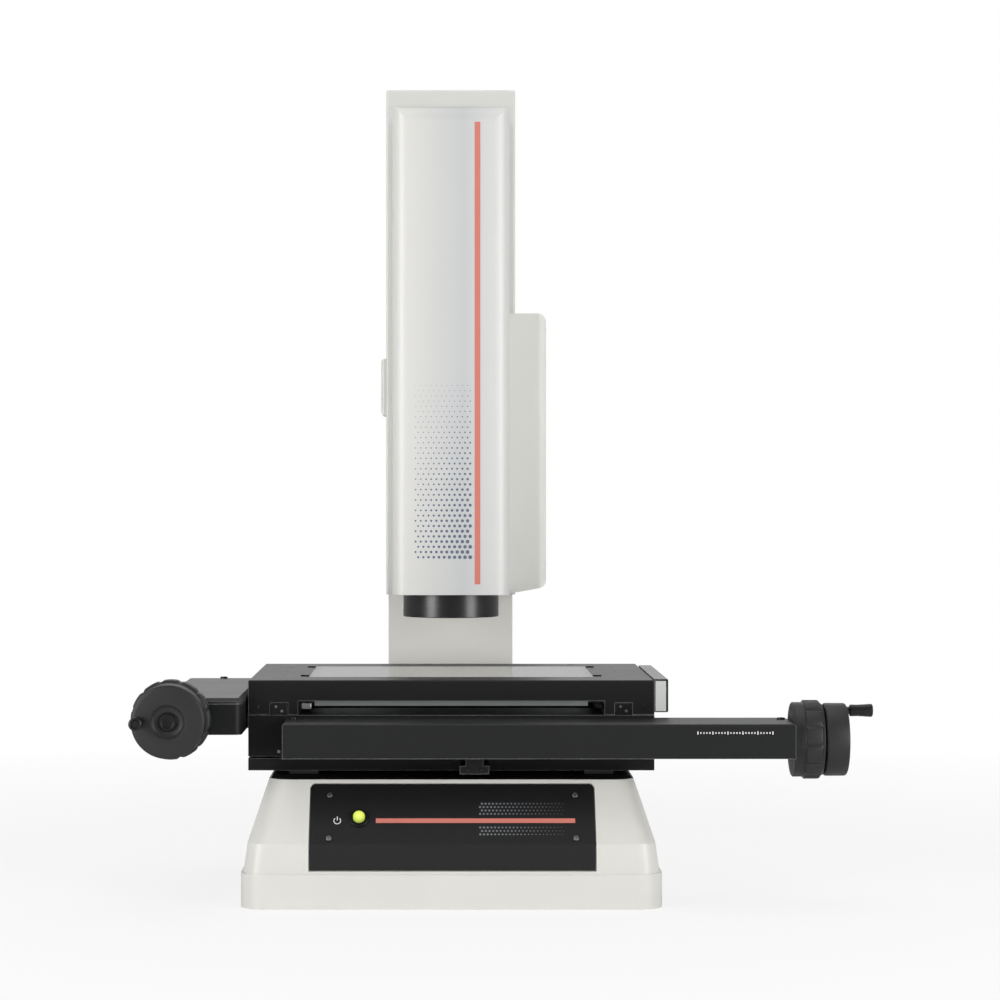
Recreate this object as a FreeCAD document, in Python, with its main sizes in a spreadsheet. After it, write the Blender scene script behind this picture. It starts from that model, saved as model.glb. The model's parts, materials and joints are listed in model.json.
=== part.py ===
"""An optical measuring machine: a granite-white base with a crossed slide stage, two crank
handwheels, a column that overhangs the stage and a head with a zoom lens that rises on it.

The origin is on the bench straight below the optical axis. +X is to the right, +Y to the back
and +Z up, all in millimetres.
"""
import FreeCAD, Part
import Sketcher
import math
import os
from types import SimpleNamespace

Vector = FreeCAD.Vector
Rotation = FreeCAD.Rotation
Placement = FreeCAD.Placement

SIZES = {
    # Plinth and base casting, whose foot is nearly as wide as the stage
    "base_side_inset": 0.5,
    "base_shoulder_draft": 3.5,
    "base_top_draft": 19.5,
    "base_front_reach": 80,
    "base_tail": 92,
    "base_height": 104.3,
    "base_shoulder_height": 54,
    "base_front_setback": 36,
    "base_corner_radius": 18,
    "base_wall": 14,
    "plinth_side_ledge": 2.1,
    "plinth_front_ledge": 3.5,
    "plinth_back_ledge": 2,
    "plinth_height": 28.8,
    "plinth_wall": 11,
    "bottom_plate_thickness": 3,
    "seat_clearance": 0.2,
    # Black plate that covers the top of the base under the stage
    "top_plate_rim": 1.5,
    "top_plate_thickness": 4,
    # Front panel with its switch
    "panel_left_inset": 36.5,
    "panel_right_inset": 35,
    "panel_bottom_gap": 3.3,
    "panel_top_gap": 3.6,
    "panel_thickness": 2.5,
    "panel_gap": 0.8,
    "panel_corner_radius": 4,
    "panel_screw_side_inset": 16,
    "panel_screw_top_inset": 8.7,
    "panel_screw_rise": 4.5,
    "panel_screw_radius": 1.5,
    "panel_screw_head_radius": 2.4,
    "panel_screw_head_height": 1.2,
    "panel_screw_length": 8,
    "switch_inset": 41,
    "switch_drop": 3.35,
    "bezel_flange": 1.2,
    "bezel_height": 1.6,
    "bezel_wall": 1.7,
    "button_radius": 5,
    "button_proud": 5.6,
    "button_length": 15,
    "button_travel": 2.5,
    "button_end_room": 4.1,
    "button_clearance": 0.3,
    # Light from below
    "light_radius": 25,
    "window_ledge": 5,
    "lamp_ledge": 9,
    "lamp_height": 30,
    "power_supply_length": 200,
    "power_supply_width": 110,
    "power_supply_height": 45,
    "power_supply_left": 60,
    "power_supply_back_gap": 78,
    # Fixed plate of the stage
    "seat_height": 3.4,
    "seat_side": 25,
    "seat_end_inset": 35,
    "seat_edge_inset": 7.5,
    "stage_length": 350,
    "stage_depth": 235,
    "lower_plate_thickness": 10.4,
    "lower_plate_aperture_gap": 8,
    # Guides of the X slide
    "slide_gap": 1.7,
    "x_rail_width": 15,
    "x_rail_height": 12,
    "x_rail_end_gap": 3,
    "x_rail_inset": 37.5,
    "x_block_length": 44,
    "x_block_width": 32,
    "x_block_height": 19.5,
    "x_block_lift": 3.5,
    "x_block_spacing": 90,
    "guide_clearance": 0.3,
    # Carriage that moves in X
    "carriage_thickness": 35.6,
    "carriage_aperture_room": 5,
    "carriage_aperture_width": 76,
    "carriage_aperture_radius": 12,
    # Guides of the Y slide
    "table_gap": 0.4,
    "y_rail_width": 14,
    "y_rail_height": 10,
    "y_rail_end_gap": 3.5,
    "y_rail_inset": 26.5,
    "y_block_length": 40,
    "y_block_width": 26,
    "y_block_height": 17,
    "y_block_lift": 2.8,
    "y_block_spacing": 80,
    # Table that moves in Y, with its glass
    "table_thickness": 29.6,
    "table_web": 17.9,
    "table_leg_margin": 3.5,
    "table_edge_radius": 1.2,
    "glass_end_margin": 50,
    "glass_side_margin": 42.5,
    "glass_thickness": 5,
    "glass_ledge": 5,
    "glass_clearance": 0.2,
    "clip_slot_length": 7.5,
    "clip_slot_width": 5,
    "clip_slot_depth": 2,
    "clip_slot_inset": 12,
    "tapped_hole_radius": 2.1,
    "tapped_hole_depth": 8,
    "tapped_hole_inset": 27,
    "tapped_hole_pitch": 115,
    "table_screw_radius": 2,
    "table_screw_head_radius": 3.4,
    "table_screw_head_height": 3,
    "table_screw_length": 12,
    "table_screw_inset": 16.5,
    "table_screw_inner": 37,
    "table_screw_outer": 61.5,
    "table_screw_end_inset": 62,
    "front_bar_end_gap": 14,
    "front_bar_height": 4.5,
    "front_bar_depth": 8,
    "front_bar_inset": 5,
    "scale_housing_width": 12,
    "scale_housing_back_inset": 41.5,
    "scale_housing_height": 28.7,
    "scale_housing_lift": 2,
    # X drive arm
    "x_axis_lift": 18.2,
    "x_axis_reach": 35.7,
    "arm_left_inset": 33.5,
    "arm_right_reach": 112.7,
    "arm_gap": 3.8,
    "arm_depth": 71.7,
    "arm_wall": 3,
    "arm_top_wall": 4.1,
    "arm_end_wall": 14,
    "arm_edge_radius": 1.5,
    "arm_foot_width": 40,
    "nut_place": 19.5,
    "nut_length": 25,
    "nut_radius": 9.5,
    "nut_room": 2,
    "nut_room_below": 0.9,
    "nut_arm_length": 15,
    "nut_arm_thickness": 8,
    "nut_arm_gap": 3,
    "nut_foot_thickness": 7,
    "nut_foot_lift": 1,
    "slot_end_room": 2,
    "x_travel": 100,
    "y_travel": 50,
    # Y drive box
    "drive_box_gap": 2,
    "drive_box_width": 69,
    "drive_box_front_reach": 55.5,
    "drive_box_back_inset": 30.5,
    "drive_box_depth_below": 14.5,
    "drive_lid_thickness": 5,
    "drive_lid_bevel": 3,
    "drive_box_corner_radius": 6,
    "y_axis_lift": 1.7,
    "y_nut_radius": 7,
    "y_nut_side_room": 1.5,
    "y_nut_length": 24,
    "y_nut_arm_height": 7,
    "y_nut_arm_width": 16,
    "y_nut_arm_gap": 1,
    # Feed screws, bearings and handwheels
    "feed_screw_radius": 5,
    "feed_screw_clearance": 0.3,
    "shaft_way_room": 1,
    "bearing_radius": 9,
    "bearing_width": 8,
    "bearing_clearance": 0.05,
    "bearing_cover": 2.5,
    "drive_boss_radius": 14,
    "boss_setback": 1.5,
    "ring_radius": 31.5,
    "ring_band_rise": 1.85,
    "ring_plain_length": 9.5,
    "ring_length": 25.6,
    "ring_chamfer": 2.5,
    "ring_start_gap": 0.3,
    "ring_groove_width": 5,
    "ring_groove_depth": 1.1,
    "wheel_radius": 30.8,
    "wheel_gap": 1.5,
    "wheel_length": 20.7,
    "wheel_cone": 1.5,
    "wheel_edge": 1,
    "wheel_recess_radius": 14.5,
    "wheel_recess_depth": 3,
    "wheel_hub_radius": 8,
    "crank_inset": 6.3,
    "crank_pin_radius": 2.5,
    "crank_pin_depth": 8,
    "crank_neck_radius": 3.2,
    "crank_neck_length": 2.5,
    "crank_knob_length": 19.5,
    "crank_knob_inner_radius": 5.1,
    "crank_knob_outer_radius": 5.6,
    "crank_knob_edge": 1,
    "crank_knob_cap": 2.5,
    "drive_screw_radius": 1.8,
    "drive_screw_head_radius": 3.4,
    "drive_screw_head_height": 1.6,
    "drive_screw_length": 12,
    "drive_screw_inset": 6.7,
    "drive_screw_setback": 16,
    # Column
    "column_width": 120,
    "column_clearance": 11.5,
    "column_depth": 251,
    "column_wall": 4,
    "column_edge_radius": 1.8,
    "column_head_room": 31,
    "pedestal_height": 148.1,
    "spine_side_gap": 6,
    "spine_setback": 57,
    "spine_depth": 128,
    "spine_top_gap": 6,
    "rear_cover_thickness": 2.4,
    "side_cover_width": 28.7,
    "side_cover_lap": 6,
    "side_cover_head_gap": 1.2,
    "side_cover_length": 241,
    "side_cover_rise": 261.3,
    "side_cover_lift": 0.8,
    "side_cover_wall": 4.5,
    "side_cover_edge_radius": 8,
    "side_cover_slant": 6.4,
    "port_cover_thickness": 5,
    "port_cover_setback": 13,
    "port_cover_length": 44,
    "port_cover_lift": 167.1,
    "port_cover_height": 52.9,
    "port_cover_edge_radius": 3,
    # Z slide
    "z_travel": 150,
    "z_slot_side_gap": 3,
    "z_slot_margin": 8,
    "z_carriage_lift": 182.6,
    "z_carriage_height": 90,
    "z_carriage_side_margin": 0.5,
    "z_rail_width": 15,
    "z_rail_height": 12,
    "z_block_length": 28,
    "z_block_width": 23,
    "z_block_height": 22,
    "z_block_lift": 4,
    "z_block_spacing": 60,
    "z_screw_radius": 6,
    "z_screw_room": 2,
    "z_nut_radius": 11,
    "z_nut_side_gap": 1.5,
    "z_nut_length": 40,
    "z_bearing_side_gap": 0.5,
    "z_bearing_height": 12,
    "z_bearing_gap": 4,
    "z_motor_side": 40,
    "z_motor_gap": 1,
    "z_motor_length": 58,
    "z_shaft_entry": 10,
    # Head
    "head_lift": 4.1,
    "head_side_margin": 9,
    "head_front_margin": 12,
    "head_back_margin": 13,
    "head_column_gap": 2,
    "head_room": 47,
    "head_roof": 8,
    "head_wall": 6,
    "head_edge_radius": 13,
    "mount_plate_thickness": 10,
    "mount_plate_gap": 7,
    "mount_plate_lift": 18.5,
    "mount_plate_top_room": 5,
    "clamp_wall": 8,
    "clamp_height": 20,
    "clamp_gap": 10,
    "clamp_drop": 90,
    "barrel_radius": 43,
    "barrel_reach": 20.9,
    "barrel_depth": 43.5,
    "barrel_wall": 11,
    "barrel_lip": 2,
    "barrel_chamfer": 0.6,
    "lens_gap": 1,
    "lens_thickness": 8,
    "lens_setback": 5,
    "tube_radius": 22,
    "tube_wall": 6,
    "tube_length": 260,
    "camera_side": 56,
    "camera_height": 75,
    # Power inlet in the back of the base
    "inlet_inset": 35,
    "inlet_width": 48,
    "inlet_height": 28,
    "inlet_lift": 16.2,
    "inlet_depth": 24,
    "inlet_flange": 5,
    "inlet_flange_thickness": 2.4,
    "inlet_socket_depth": 12,
    "inlet_wall": 6,
}

# Flats cut into the band of each release ring
RING_GROOVE_COUNT = 12


class Size:
    """A length worked out from the sheet: its formula and its present value."""

    def __init__(self, formula, value):
        self.formula = formula
        self.value = value

    def __add__(self, other):
        other = size_of(other)
        return Size(f"({self.formula} + {other.formula})", self.value + other.value)

    def __sub__(self, other):
        other = size_of(other)
        return Size(f"({self.formula} - {other.formula})", self.value - other.value)

    def __mul__(self, other):
        other = size_of(other)
        return Size(f"({self.formula} * {other.formula})", self.value * other.value)

    def __truediv__(self, other):
        other = size_of(other)
        return Size(f"({self.formula} / {other.formula})", self.value / other.value)

    def __radd__(self, other):
        return size_of(other) + self

    def __rsub__(self, other):
        return size_of(other) - self

    def __rmul__(self, other):
        return size_of(other) * self

    def __neg__(self):
        return size_of(0) - self


def size_of(thing):
    """Gives a number or a size as a size."""
    if isinstance(thing, Size):
        return thing
    return Size(f"({thing})", float(thing))


def arc_tangent(ratio):
    """The angle in degrees whose tangent is a ratio of two sizes."""
    return Size(f"atan({ratio.formula})", math.degrees(math.atan(ratio.value)))


document = FreeCAD.newDocument("optical_measuring_machine")
sheet = document.addObject("Spreadsheet::Sheet", "sizes")
for row, (name, value) in enumerate(SIZES.items(), start=1):
    sheet.set(f"A{row}", name.replace("_", " "))
    sheet.set(f"B{row}", str(value))
    sheet.setAlias(f"B{row}", name)
document.recompute()

d = SimpleNamespace(**{name: Size(f"sizes.{name}", sheet.get(name)) for name in SIZES})
nodes = []


# Ways of making pieces

TURNS = {
    "x": Rotation(Vector(0, 1, 0), 90),
    "y": Rotation(Vector(1, 0, 0), -90),
    "z": Rotation(),
}
AXES = ("x", "y", "z")


def node(label, made):
    """Names a finished sub-part, which is then written to a file of its own."""
    made.Label = label
    nodes.append(made)
    return made


def place(made, point):
    """Binds the place of a piece to three sizes."""
    for axis, value in zip(AXES, point):
        made.setExpression(f"Placement.Base.{axis}", size_of(value).formula)
    return made


def block(name, x, y, z):
    """A rectangular solid from a low to a high value on each axis."""
    made = document.addObject("Part::Box", name)
    sides = [(size_of(low), size_of(high)) for low, high in (x, y, z)]
    for side, (low, high) in zip(("Length", "Width", "Height"), sides):
        made.setExpression(side, (high - low).formula)
    return place(made, [low for low, high in sides])


def rod(name, radius, along, start, length):
    """A round solid that runs from its start along one axis."""
    made = document.addObject("Part::Cylinder", name)
    made.Placement = Placement(Vector(), TURNS[along])
    made.setExpression("Radius", size_of(radius).formula)
    made.setExpression("Height", size_of(length).formula)
    return place(made, start)


def fuse(name, *pieces):
    """One solid from several that touch or overlap."""
    made = document.addObject("Part::MultiFuse", name)
    made.Shapes = list(pieces)
    made.Refine = True
    return made


def cut(name, base, *tools):
    """A solid with others taken out of it."""
    made = document.addObject("Part::Cut", name)
    made.Base = base
    made.Tool = tools[0] if len(tools) == 1 else fuse(f"{name}_openings", *tools)
    return made


def group(name, pieces):
    """Like pieces kept as separate solids of one sub-part."""
    made = document.addObject("Part::Compound", name)
    made.Links = list(pieces)
    return made


def new_body(name):
    """An empty body for sketches and features."""
    return document.addObject("PartDesign::Body", name)


def origin_feature(body, role):
    """A plane or axis of the body's own origin."""
    return next(part for part in body.Origin.OriginFeatures if part.Role == role)


def new_sketch(body, role, height):
    """An empty sketch on one of the body's planes, moved along the plane's normal."""
    sketch = body.newObject("Sketcher::SketchObject", f"{body.Name}_sketch")
    sketch.AttachmentSupport = [(origin_feature(body, role), "")]
    sketch.MapMode = "FlatFace"
    sketch.setExpression("AttachmentOffset.Base.z", size_of(height).formula)
    return sketch


def bind(sketch, kind, places, value):
    """Adds a measured constraint and binds it to a size."""
    index = sketch.addConstraint(Sketcher.Constraint(kind, *places, value.value))
    sketch.setExpression(f"Constraints[{index}]", value.formula)


def draw_corners(sketch, corners):
    """A closed outline of straight lines through corners given in the sketch's directions."""
    corners = [(size_of(across), size_of(up)) for across, up in corners]
    points = [Vector(across.value, up.value, 0) for across, up in corners]
    count = len(points)
    for index in range(count):
        sketch.addGeometry(Part.LineSegment(points[index], points[(index + 1) % count]))
    for index in range(count):
        sketch.addConstraint(Sketcher.Constraint("Coincident", index, 2, (index + 1) % count, 1))
    for index, (across, up) in enumerate(corners):
        bind(sketch, "DistanceX", (-1, 1, index, 1), across)
        bind(sketch, "DistanceY", (-1, 1, index, 1), up)


def draw_rounded(sketch, across, up, radius):
    """A rectangle with four round corners, between two values in each direction."""
    left, right = (size_of(value) for value in across)
    low, high = (size_of(value) for value in up)
    r = radius.value
    inner = (left.value + r, right.value - r, low.value + r, high.value - r)
    runs = (
        (Vector(inner[0], low.value, 0), Vector(inner[1], low.value, 0)),
        (Vector(right.value, inner[2], 0), Vector(right.value, inner[3], 0)),
        (Vector(inner[1], high.value, 0), Vector(inner[0], high.value, 0)),
        (Vector(left.value, inner[3], 0), Vector(left.value, inner[2], 0)),
    )
    centres = (
        Vector(inner[1], inner[2], 0),
        Vector(inner[1], inner[3], 0),
        Vector(inner[0], inner[3], 0),
        Vector(inner[0], inner[2], 0),
    )
    for index, (run, centre) in enumerate(zip(runs, centres)):
        start = (index - 1) * math.pi / 2
        circle = Part.Circle(centre, Vector(0, 0, 1), r)
        sketch.addGeometry(Part.LineSegment(*run))
        sketch.addGeometry(Part.ArcOfCircle(circle, start, start + math.pi / 2))
    for index in range(4):
        line, arc, following = 2 * index, 2 * index + 1, (2 * index + 2) % 8
        sketch.addConstraint(Sketcher.Constraint("Tangent", line, 2, arc, 1))
        sketch.addConstraint(Sketcher.Constraint("Tangent", arc, 2, following, 1))
        level = "Horizontal" if index % 2 == 0 else "Vertical"
        sketch.addConstraint(Sketcher.Constraint(level, line))
    for arc in (3, 5, 7):
        sketch.addConstraint(Sketcher.Constraint("Equal", 1, arc))
    bind(sketch, "Radius", (1,), radius)
    bind(sketch, "DistanceY", (-1, 1, 0, 1), low)
    bind(sketch, "DistanceX", (-1, 1, 2, 1), right)
    bind(sketch, "DistanceY", (-1, 1, 4, 1), high)
    bind(sketch, "DistanceX", (-1, 1, 6, 1), left)


# Height of a sketch for a pad, or a pocket, that fills the space from low to high. The normal
# of the XZ plane points to -Y.
PAD_HEIGHT = {
    "XY_Plane": lambda low, high: low,
    "YZ_Plane": lambda low, high: low,
    "XZ_Plane": lambda low, high: -size_of(high),
}
POCKET_HEIGHT = {
    "XY_Plane": lambda low, high: high,
    "YZ_Plane": lambda low, high: high,
    "XZ_Plane": lambda low, high: -size_of(low),
}


def pad(body, role, low, high, draw, *outline):
    """Adds a drawn outline to a body as a solid from low to high across its plane."""
    sketch = new_sketch(body, role, PAD_HEIGHT[role](low, high))
    draw(sketch, *outline)
    feature = body.newObject("PartDesign::Pad", f"{body.Name}_pad")
    feature.Profile = sketch
    feature.setExpression("Length", (size_of(high) - low).formula)
    document.recompute()
    return body


def pocket(body, role, low, high, draw, *outline):
    """Takes a drawn outline out of a body from low to high across its plane."""
    before = body.Shape.Volume
    sketch = new_sketch(body, role, POCKET_HEIGHT[role](low, high))
    draw(sketch, *outline)
    feature = body.newObject("PartDesign::Pocket", f"{body.Name}_pocket")
    feature.Profile = sketch
    feature.setExpression("Length", (size_of(high) - low).formula)
    document.recompute()
    if body.Shape.Volume >= before:
        raise ValueError(f"a pocket of {body.Name} takes nothing away")
    return body


def turn(body, corners):
    """Adds a solid turned about the body's Z axis from corners of radius and height."""
    sketch = new_sketch(body, "XZ_Plane", 0)
    draw_corners(sketch, corners)
    feature = body.newObject("PartDesign::Revolution", f"{body.Name}_turned")
    feature.Profile = sketch
    feature.ReferenceAxis = (sketch, ["V_Axis"])
    feature.Angle = 360
    document.recompute()
    return body


def edges_where(shape, test):
    """The names of the edges of a shape that pass a test."""
    return [f"Edge{index}" for index, edge in enumerate(shape.Edges, start=1) if test(edge)]


def soften(body, kind, size, test):
    """Rounds or bevels the edges of a body that pass a test."""
    tip = body.Tip
    names = edges_where(tip.Shape, test)
    if not names:
        raise ValueError(f"no edge of {body.Name} is there to soften")
    feature = body.newObject(f"PartDesign::{kind}", f"{body.Name}_{kind.lower()}")
    feature.Base = (tip, names)
    feature.setExpression("Radius" if kind == "Fillet" else "Size", size.formula)
    document.recompute()
    return body


def runs_along(edge, axis):
    """Whether an edge is straight and parallel to an axis."""
    if not isinstance(edge.Curve, Part.Line):
        return False
    return abs(edge.Curve.Direction.dot(axis)) > 0.999


def near(value, size):
    """Whether a coordinate is at a size."""
    return abs(value - size_of(size).value) < 0.01


ALONG_X, ALONG_Y, ALONG_Z = Vector(1, 0, 0), Vector(0, 1, 0), Vector(0, 0, 1)

# How far a cutting form runs past the face that it opens
OVERRUN = 1

# Levels of the stage, from the base up

base_top = d.base_height
lower_plate_bottom = base_top + d.seat_height
lower_plate_top = lower_plate_bottom + d.lower_plate_thickness
carriage_bottom = lower_plate_top + d.slide_gap
carriage_top = carriage_bottom + d.carriage_thickness
table_bottom = carriage_top + d.table_gap
table_top = table_bottom + d.table_thickness
web_bottom = table_top - d.table_web

# Base and column, seen from above: the column clears the table at the end of its travel

stage_half_length = d.stage_length / 2
stage_half_depth = d.stage_depth / 2
base_foot_width = d.stage_length - 2 * d.base_side_inset
base_shoulder_width = base_foot_width - 2 * d.base_shoulder_draft
base_top_width = base_foot_width - 2 * d.base_top_draft
base_front = stage_half_depth + d.base_front_reach
column_front = stage_half_depth + d.y_travel + d.column_clearance
column_back = column_front + d.column_depth
base_back = column_back + d.base_tail
plinth_half_width = base_foot_width / 2 + d.plinth_side_ledge
plinth_front = base_front + d.plinth_front_ledge
plinth_back = base_back + d.plinth_back_ledge

# Front panel and switch, on the slope between the shoulder and the top

panel_left = base_top_width / 2 - d.panel_left_inset
panel_right = base_top_width / 2 - d.panel_right_inset
panel_bottom = d.plinth_height + d.panel_bottom_gap
panel_top = base_top - d.panel_top_gap
slope_ratio = d.base_front_setback / (base_top - d.base_shoulder_height)
slope_lean = arc_tangent((base_top - d.base_shoulder_height) / d.base_front_setback)
switch_left = panel_left - d.switch_inset
switch_height = (d.base_shoulder_height + panel_top) / 2 - d.switch_drop
bezel_body_radius = d.button_radius + d.button_clearance + d.bezel_wall
bezel_body_length = d.button_length - d.button_proud + d.button_travel + d.button_end_room
window_radius = d.light_radius + d.window_ledge

# Guides and table

x_rail_place = stage_half_depth - d.x_rail_inset
y_rail_place = stage_half_length - d.y_rail_inset
table_relief = y_rail_place - d.y_block_width / 2 - d.table_leg_margin

# Axes and housings of the two drives: each housing is built round its feed nut

x_axis_height = carriage_bottom + d.x_axis_lift
x_axis_front = stage_half_depth + d.arm_gap + d.x_axis_reach
arm_left = stage_half_length - d.arm_left_inset
arm_right = stage_half_length + d.arm_right_reach
arm_back = stage_half_depth + d.arm_gap
arm_front = arm_back + d.arm_depth
arm_bottom = x_axis_height - d.nut_radius - d.nut_room_below - d.arm_wall
arm_top = x_axis_height + d.nut_radius + d.nut_room + d.arm_top_wall
y_axis_height = table_bottom + d.y_axis_lift
drive_box_right = stage_half_length + d.drive_box_gap
drive_box_left = drive_box_right + d.drive_box_width
y_axis_left = drive_box_left - d.arm_wall - d.y_nut_radius - d.y_nut_side_room
drive_box_front = stage_half_depth + d.drive_box_front_reach
drive_box_back = stage_half_depth - d.drive_box_back_inset
drive_box_bottom = y_axis_height - d.drive_box_depth_below
drive_lid_bottom = y_axis_height + d.bearing_radius + d.bearing_cover
drive_box_top = drive_lid_bottom + d.drive_lid_thickness
drive_box_middle = (drive_box_left + drive_box_right) / 2
wheel_start = d.ring_length + d.wheel_gap

# Head, about the optical axis, and the column behind it

mount_plate_front = d.barrel_radius + d.mount_plate_gap
mount_plate_back = mount_plate_front + d.mount_plate_thickness
head_half_width = d.barrel_radius + d.head_side_margin
head_front = d.barrel_radius + d.head_front_margin
head_back = mount_plate_back + d.head_back_margin
overhang_front = head_back + d.head_column_gap
spine_front = overhang_front + d.spine_setback
spine_back = spine_front + d.spine_depth
spine_half_width = d.column_width / 2 - d.column_wall - d.spine_side_gap
barrel_bore = d.barrel_radius - d.barrel_wall
lens_radius = barrel_bore - d.lens_gap
tube_bore = d.tube_radius - d.tube_wall

# Levels of the column, its slide and the head

overhang_bottom = base_top + d.pedestal_height
overhang_inside = overhang_bottom + d.column_wall
z_carriage_bottom = overhang_bottom + d.z_carriage_lift
z_carriage_top = z_carriage_bottom + d.z_carriage_height
z_carriage_centre = (z_carriage_bottom + z_carriage_top) / 2
lower_bearing = z_carriage_bottom - d.z_bearing_gap - d.z_bearing_height
upper_bearing = z_carriage_top + d.z_travel + d.z_bearing_gap
column_top = upper_bearing + d.z_bearing_height + d.column_head_room
side_cover_top = overhang_bottom + d.side_cover_rise
port_cover_bottom = overhang_bottom + d.port_cover_lift
head_bottom = overhang_bottom + d.head_lift
barrel_bottom = head_bottom - d.barrel_reach
barrel_top = head_bottom + d.barrel_depth
tube_top = barrel_top + d.tube_length
camera_top = tube_top + d.camera_height
head_top = camera_top + d.head_room + d.head_roof

# Z slide, seen from above: the rails stand beside the nut, the screw before the spine

z_rail_place = d.z_nut_radius + d.z_nut_side_gap + d.z_block_width / 2
z_carriage_half_width = z_rail_place + d.z_block_width / 2 + d.z_carriage_side_margin
z_slot_half_width = z_carriage_half_width + d.z_slot_side_gap
z_bearing_half_width = z_rail_place - d.z_rail_width / 2 - d.z_bearing_side_gap
z_screw_front = spine_front - d.z_motor_side / 2 - d.z_motor_gap


def mirrored(half):
    """The span from minus a value to the value."""
    return (-half, half)


def slope_y(level):
    """The depth of the sloping front of the base at a level."""
    return (level - d.base_shoulder_height) * slope_ratio - base_front


def lean(made, x, level, sunk):
    """Stands a piece square on the sloping front, its foot sunk below the surface."""
    made.Placement = Placement(Vector(), Rotation(ALONG_X, 1))
    made.setExpression("Placement.Rotation.Angle", slope_lean.formula)
    away = Size(f"sin({slope_lean.formula})", math.sin(math.radians(slope_lean.value)))
    up = Size(f"cos({slope_lean.formula})", math.cos(math.radians(slope_lean.value)))
    return place(made, (x, slope_y(level) + sunk * away, level - sunk * up))


def leaning_rod(name, radius, x, level, sunk, length):
    """A round solid that stands square on the sloping front."""
    made = document.addObject("Part::Cylinder", name)
    made.setExpression("Radius", size_of(radius).formula)
    made.setExpression("Height", size_of(length).formula)
    return lean(made, x, level, size_of(sunk))


# Base

def panel_form(name, gap, proud):
    """The form of the front panel, or of its recess when it is wider by a gap."""
    low = panel_bottom - gap
    high = panel_top + gap
    front = -base_front
    section = new_body(f"{name}_section")
    span_x = (-panel_left - gap, panel_right + gap)
    corners = (
        (front - proud, low),
        (front + d.panel_thickness, low),
        (front + d.panel_thickness, d.base_shoulder_height),
        (slope_y(high) + d.panel_thickness, high),
        (slope_y(high) - proud, high),
        (front - proud, d.base_shoulder_height),
    )
    pad(section, "YZ_Plane", *span_x, draw_corners, corners)
    outline = new_body(f"{name}_outline")
    radius = d.panel_corner_radius + gap
    # The outline starts lower than the section, so that only its upper corners are round
    pad(outline, "XZ_Plane", front - proud, front + d.base_front_setback + d.base_wall,
        draw_rounded, span_x, (low - radius, high), radius)
    form = document.addObject("Part::Common", name)
    form.Base = section
    form.Tool = outline
    return form


def panel_screw_places():
    """The four places of the panel's screws, across and up."""
    for x in (d.panel_screw_side_inset - panel_left, panel_right - d.panel_screw_side_inset):
        for level in (d.base_shoulder_height + d.panel_screw_rise,
                      panel_top - d.panel_screw_top_inset):
            yield x, level


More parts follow.
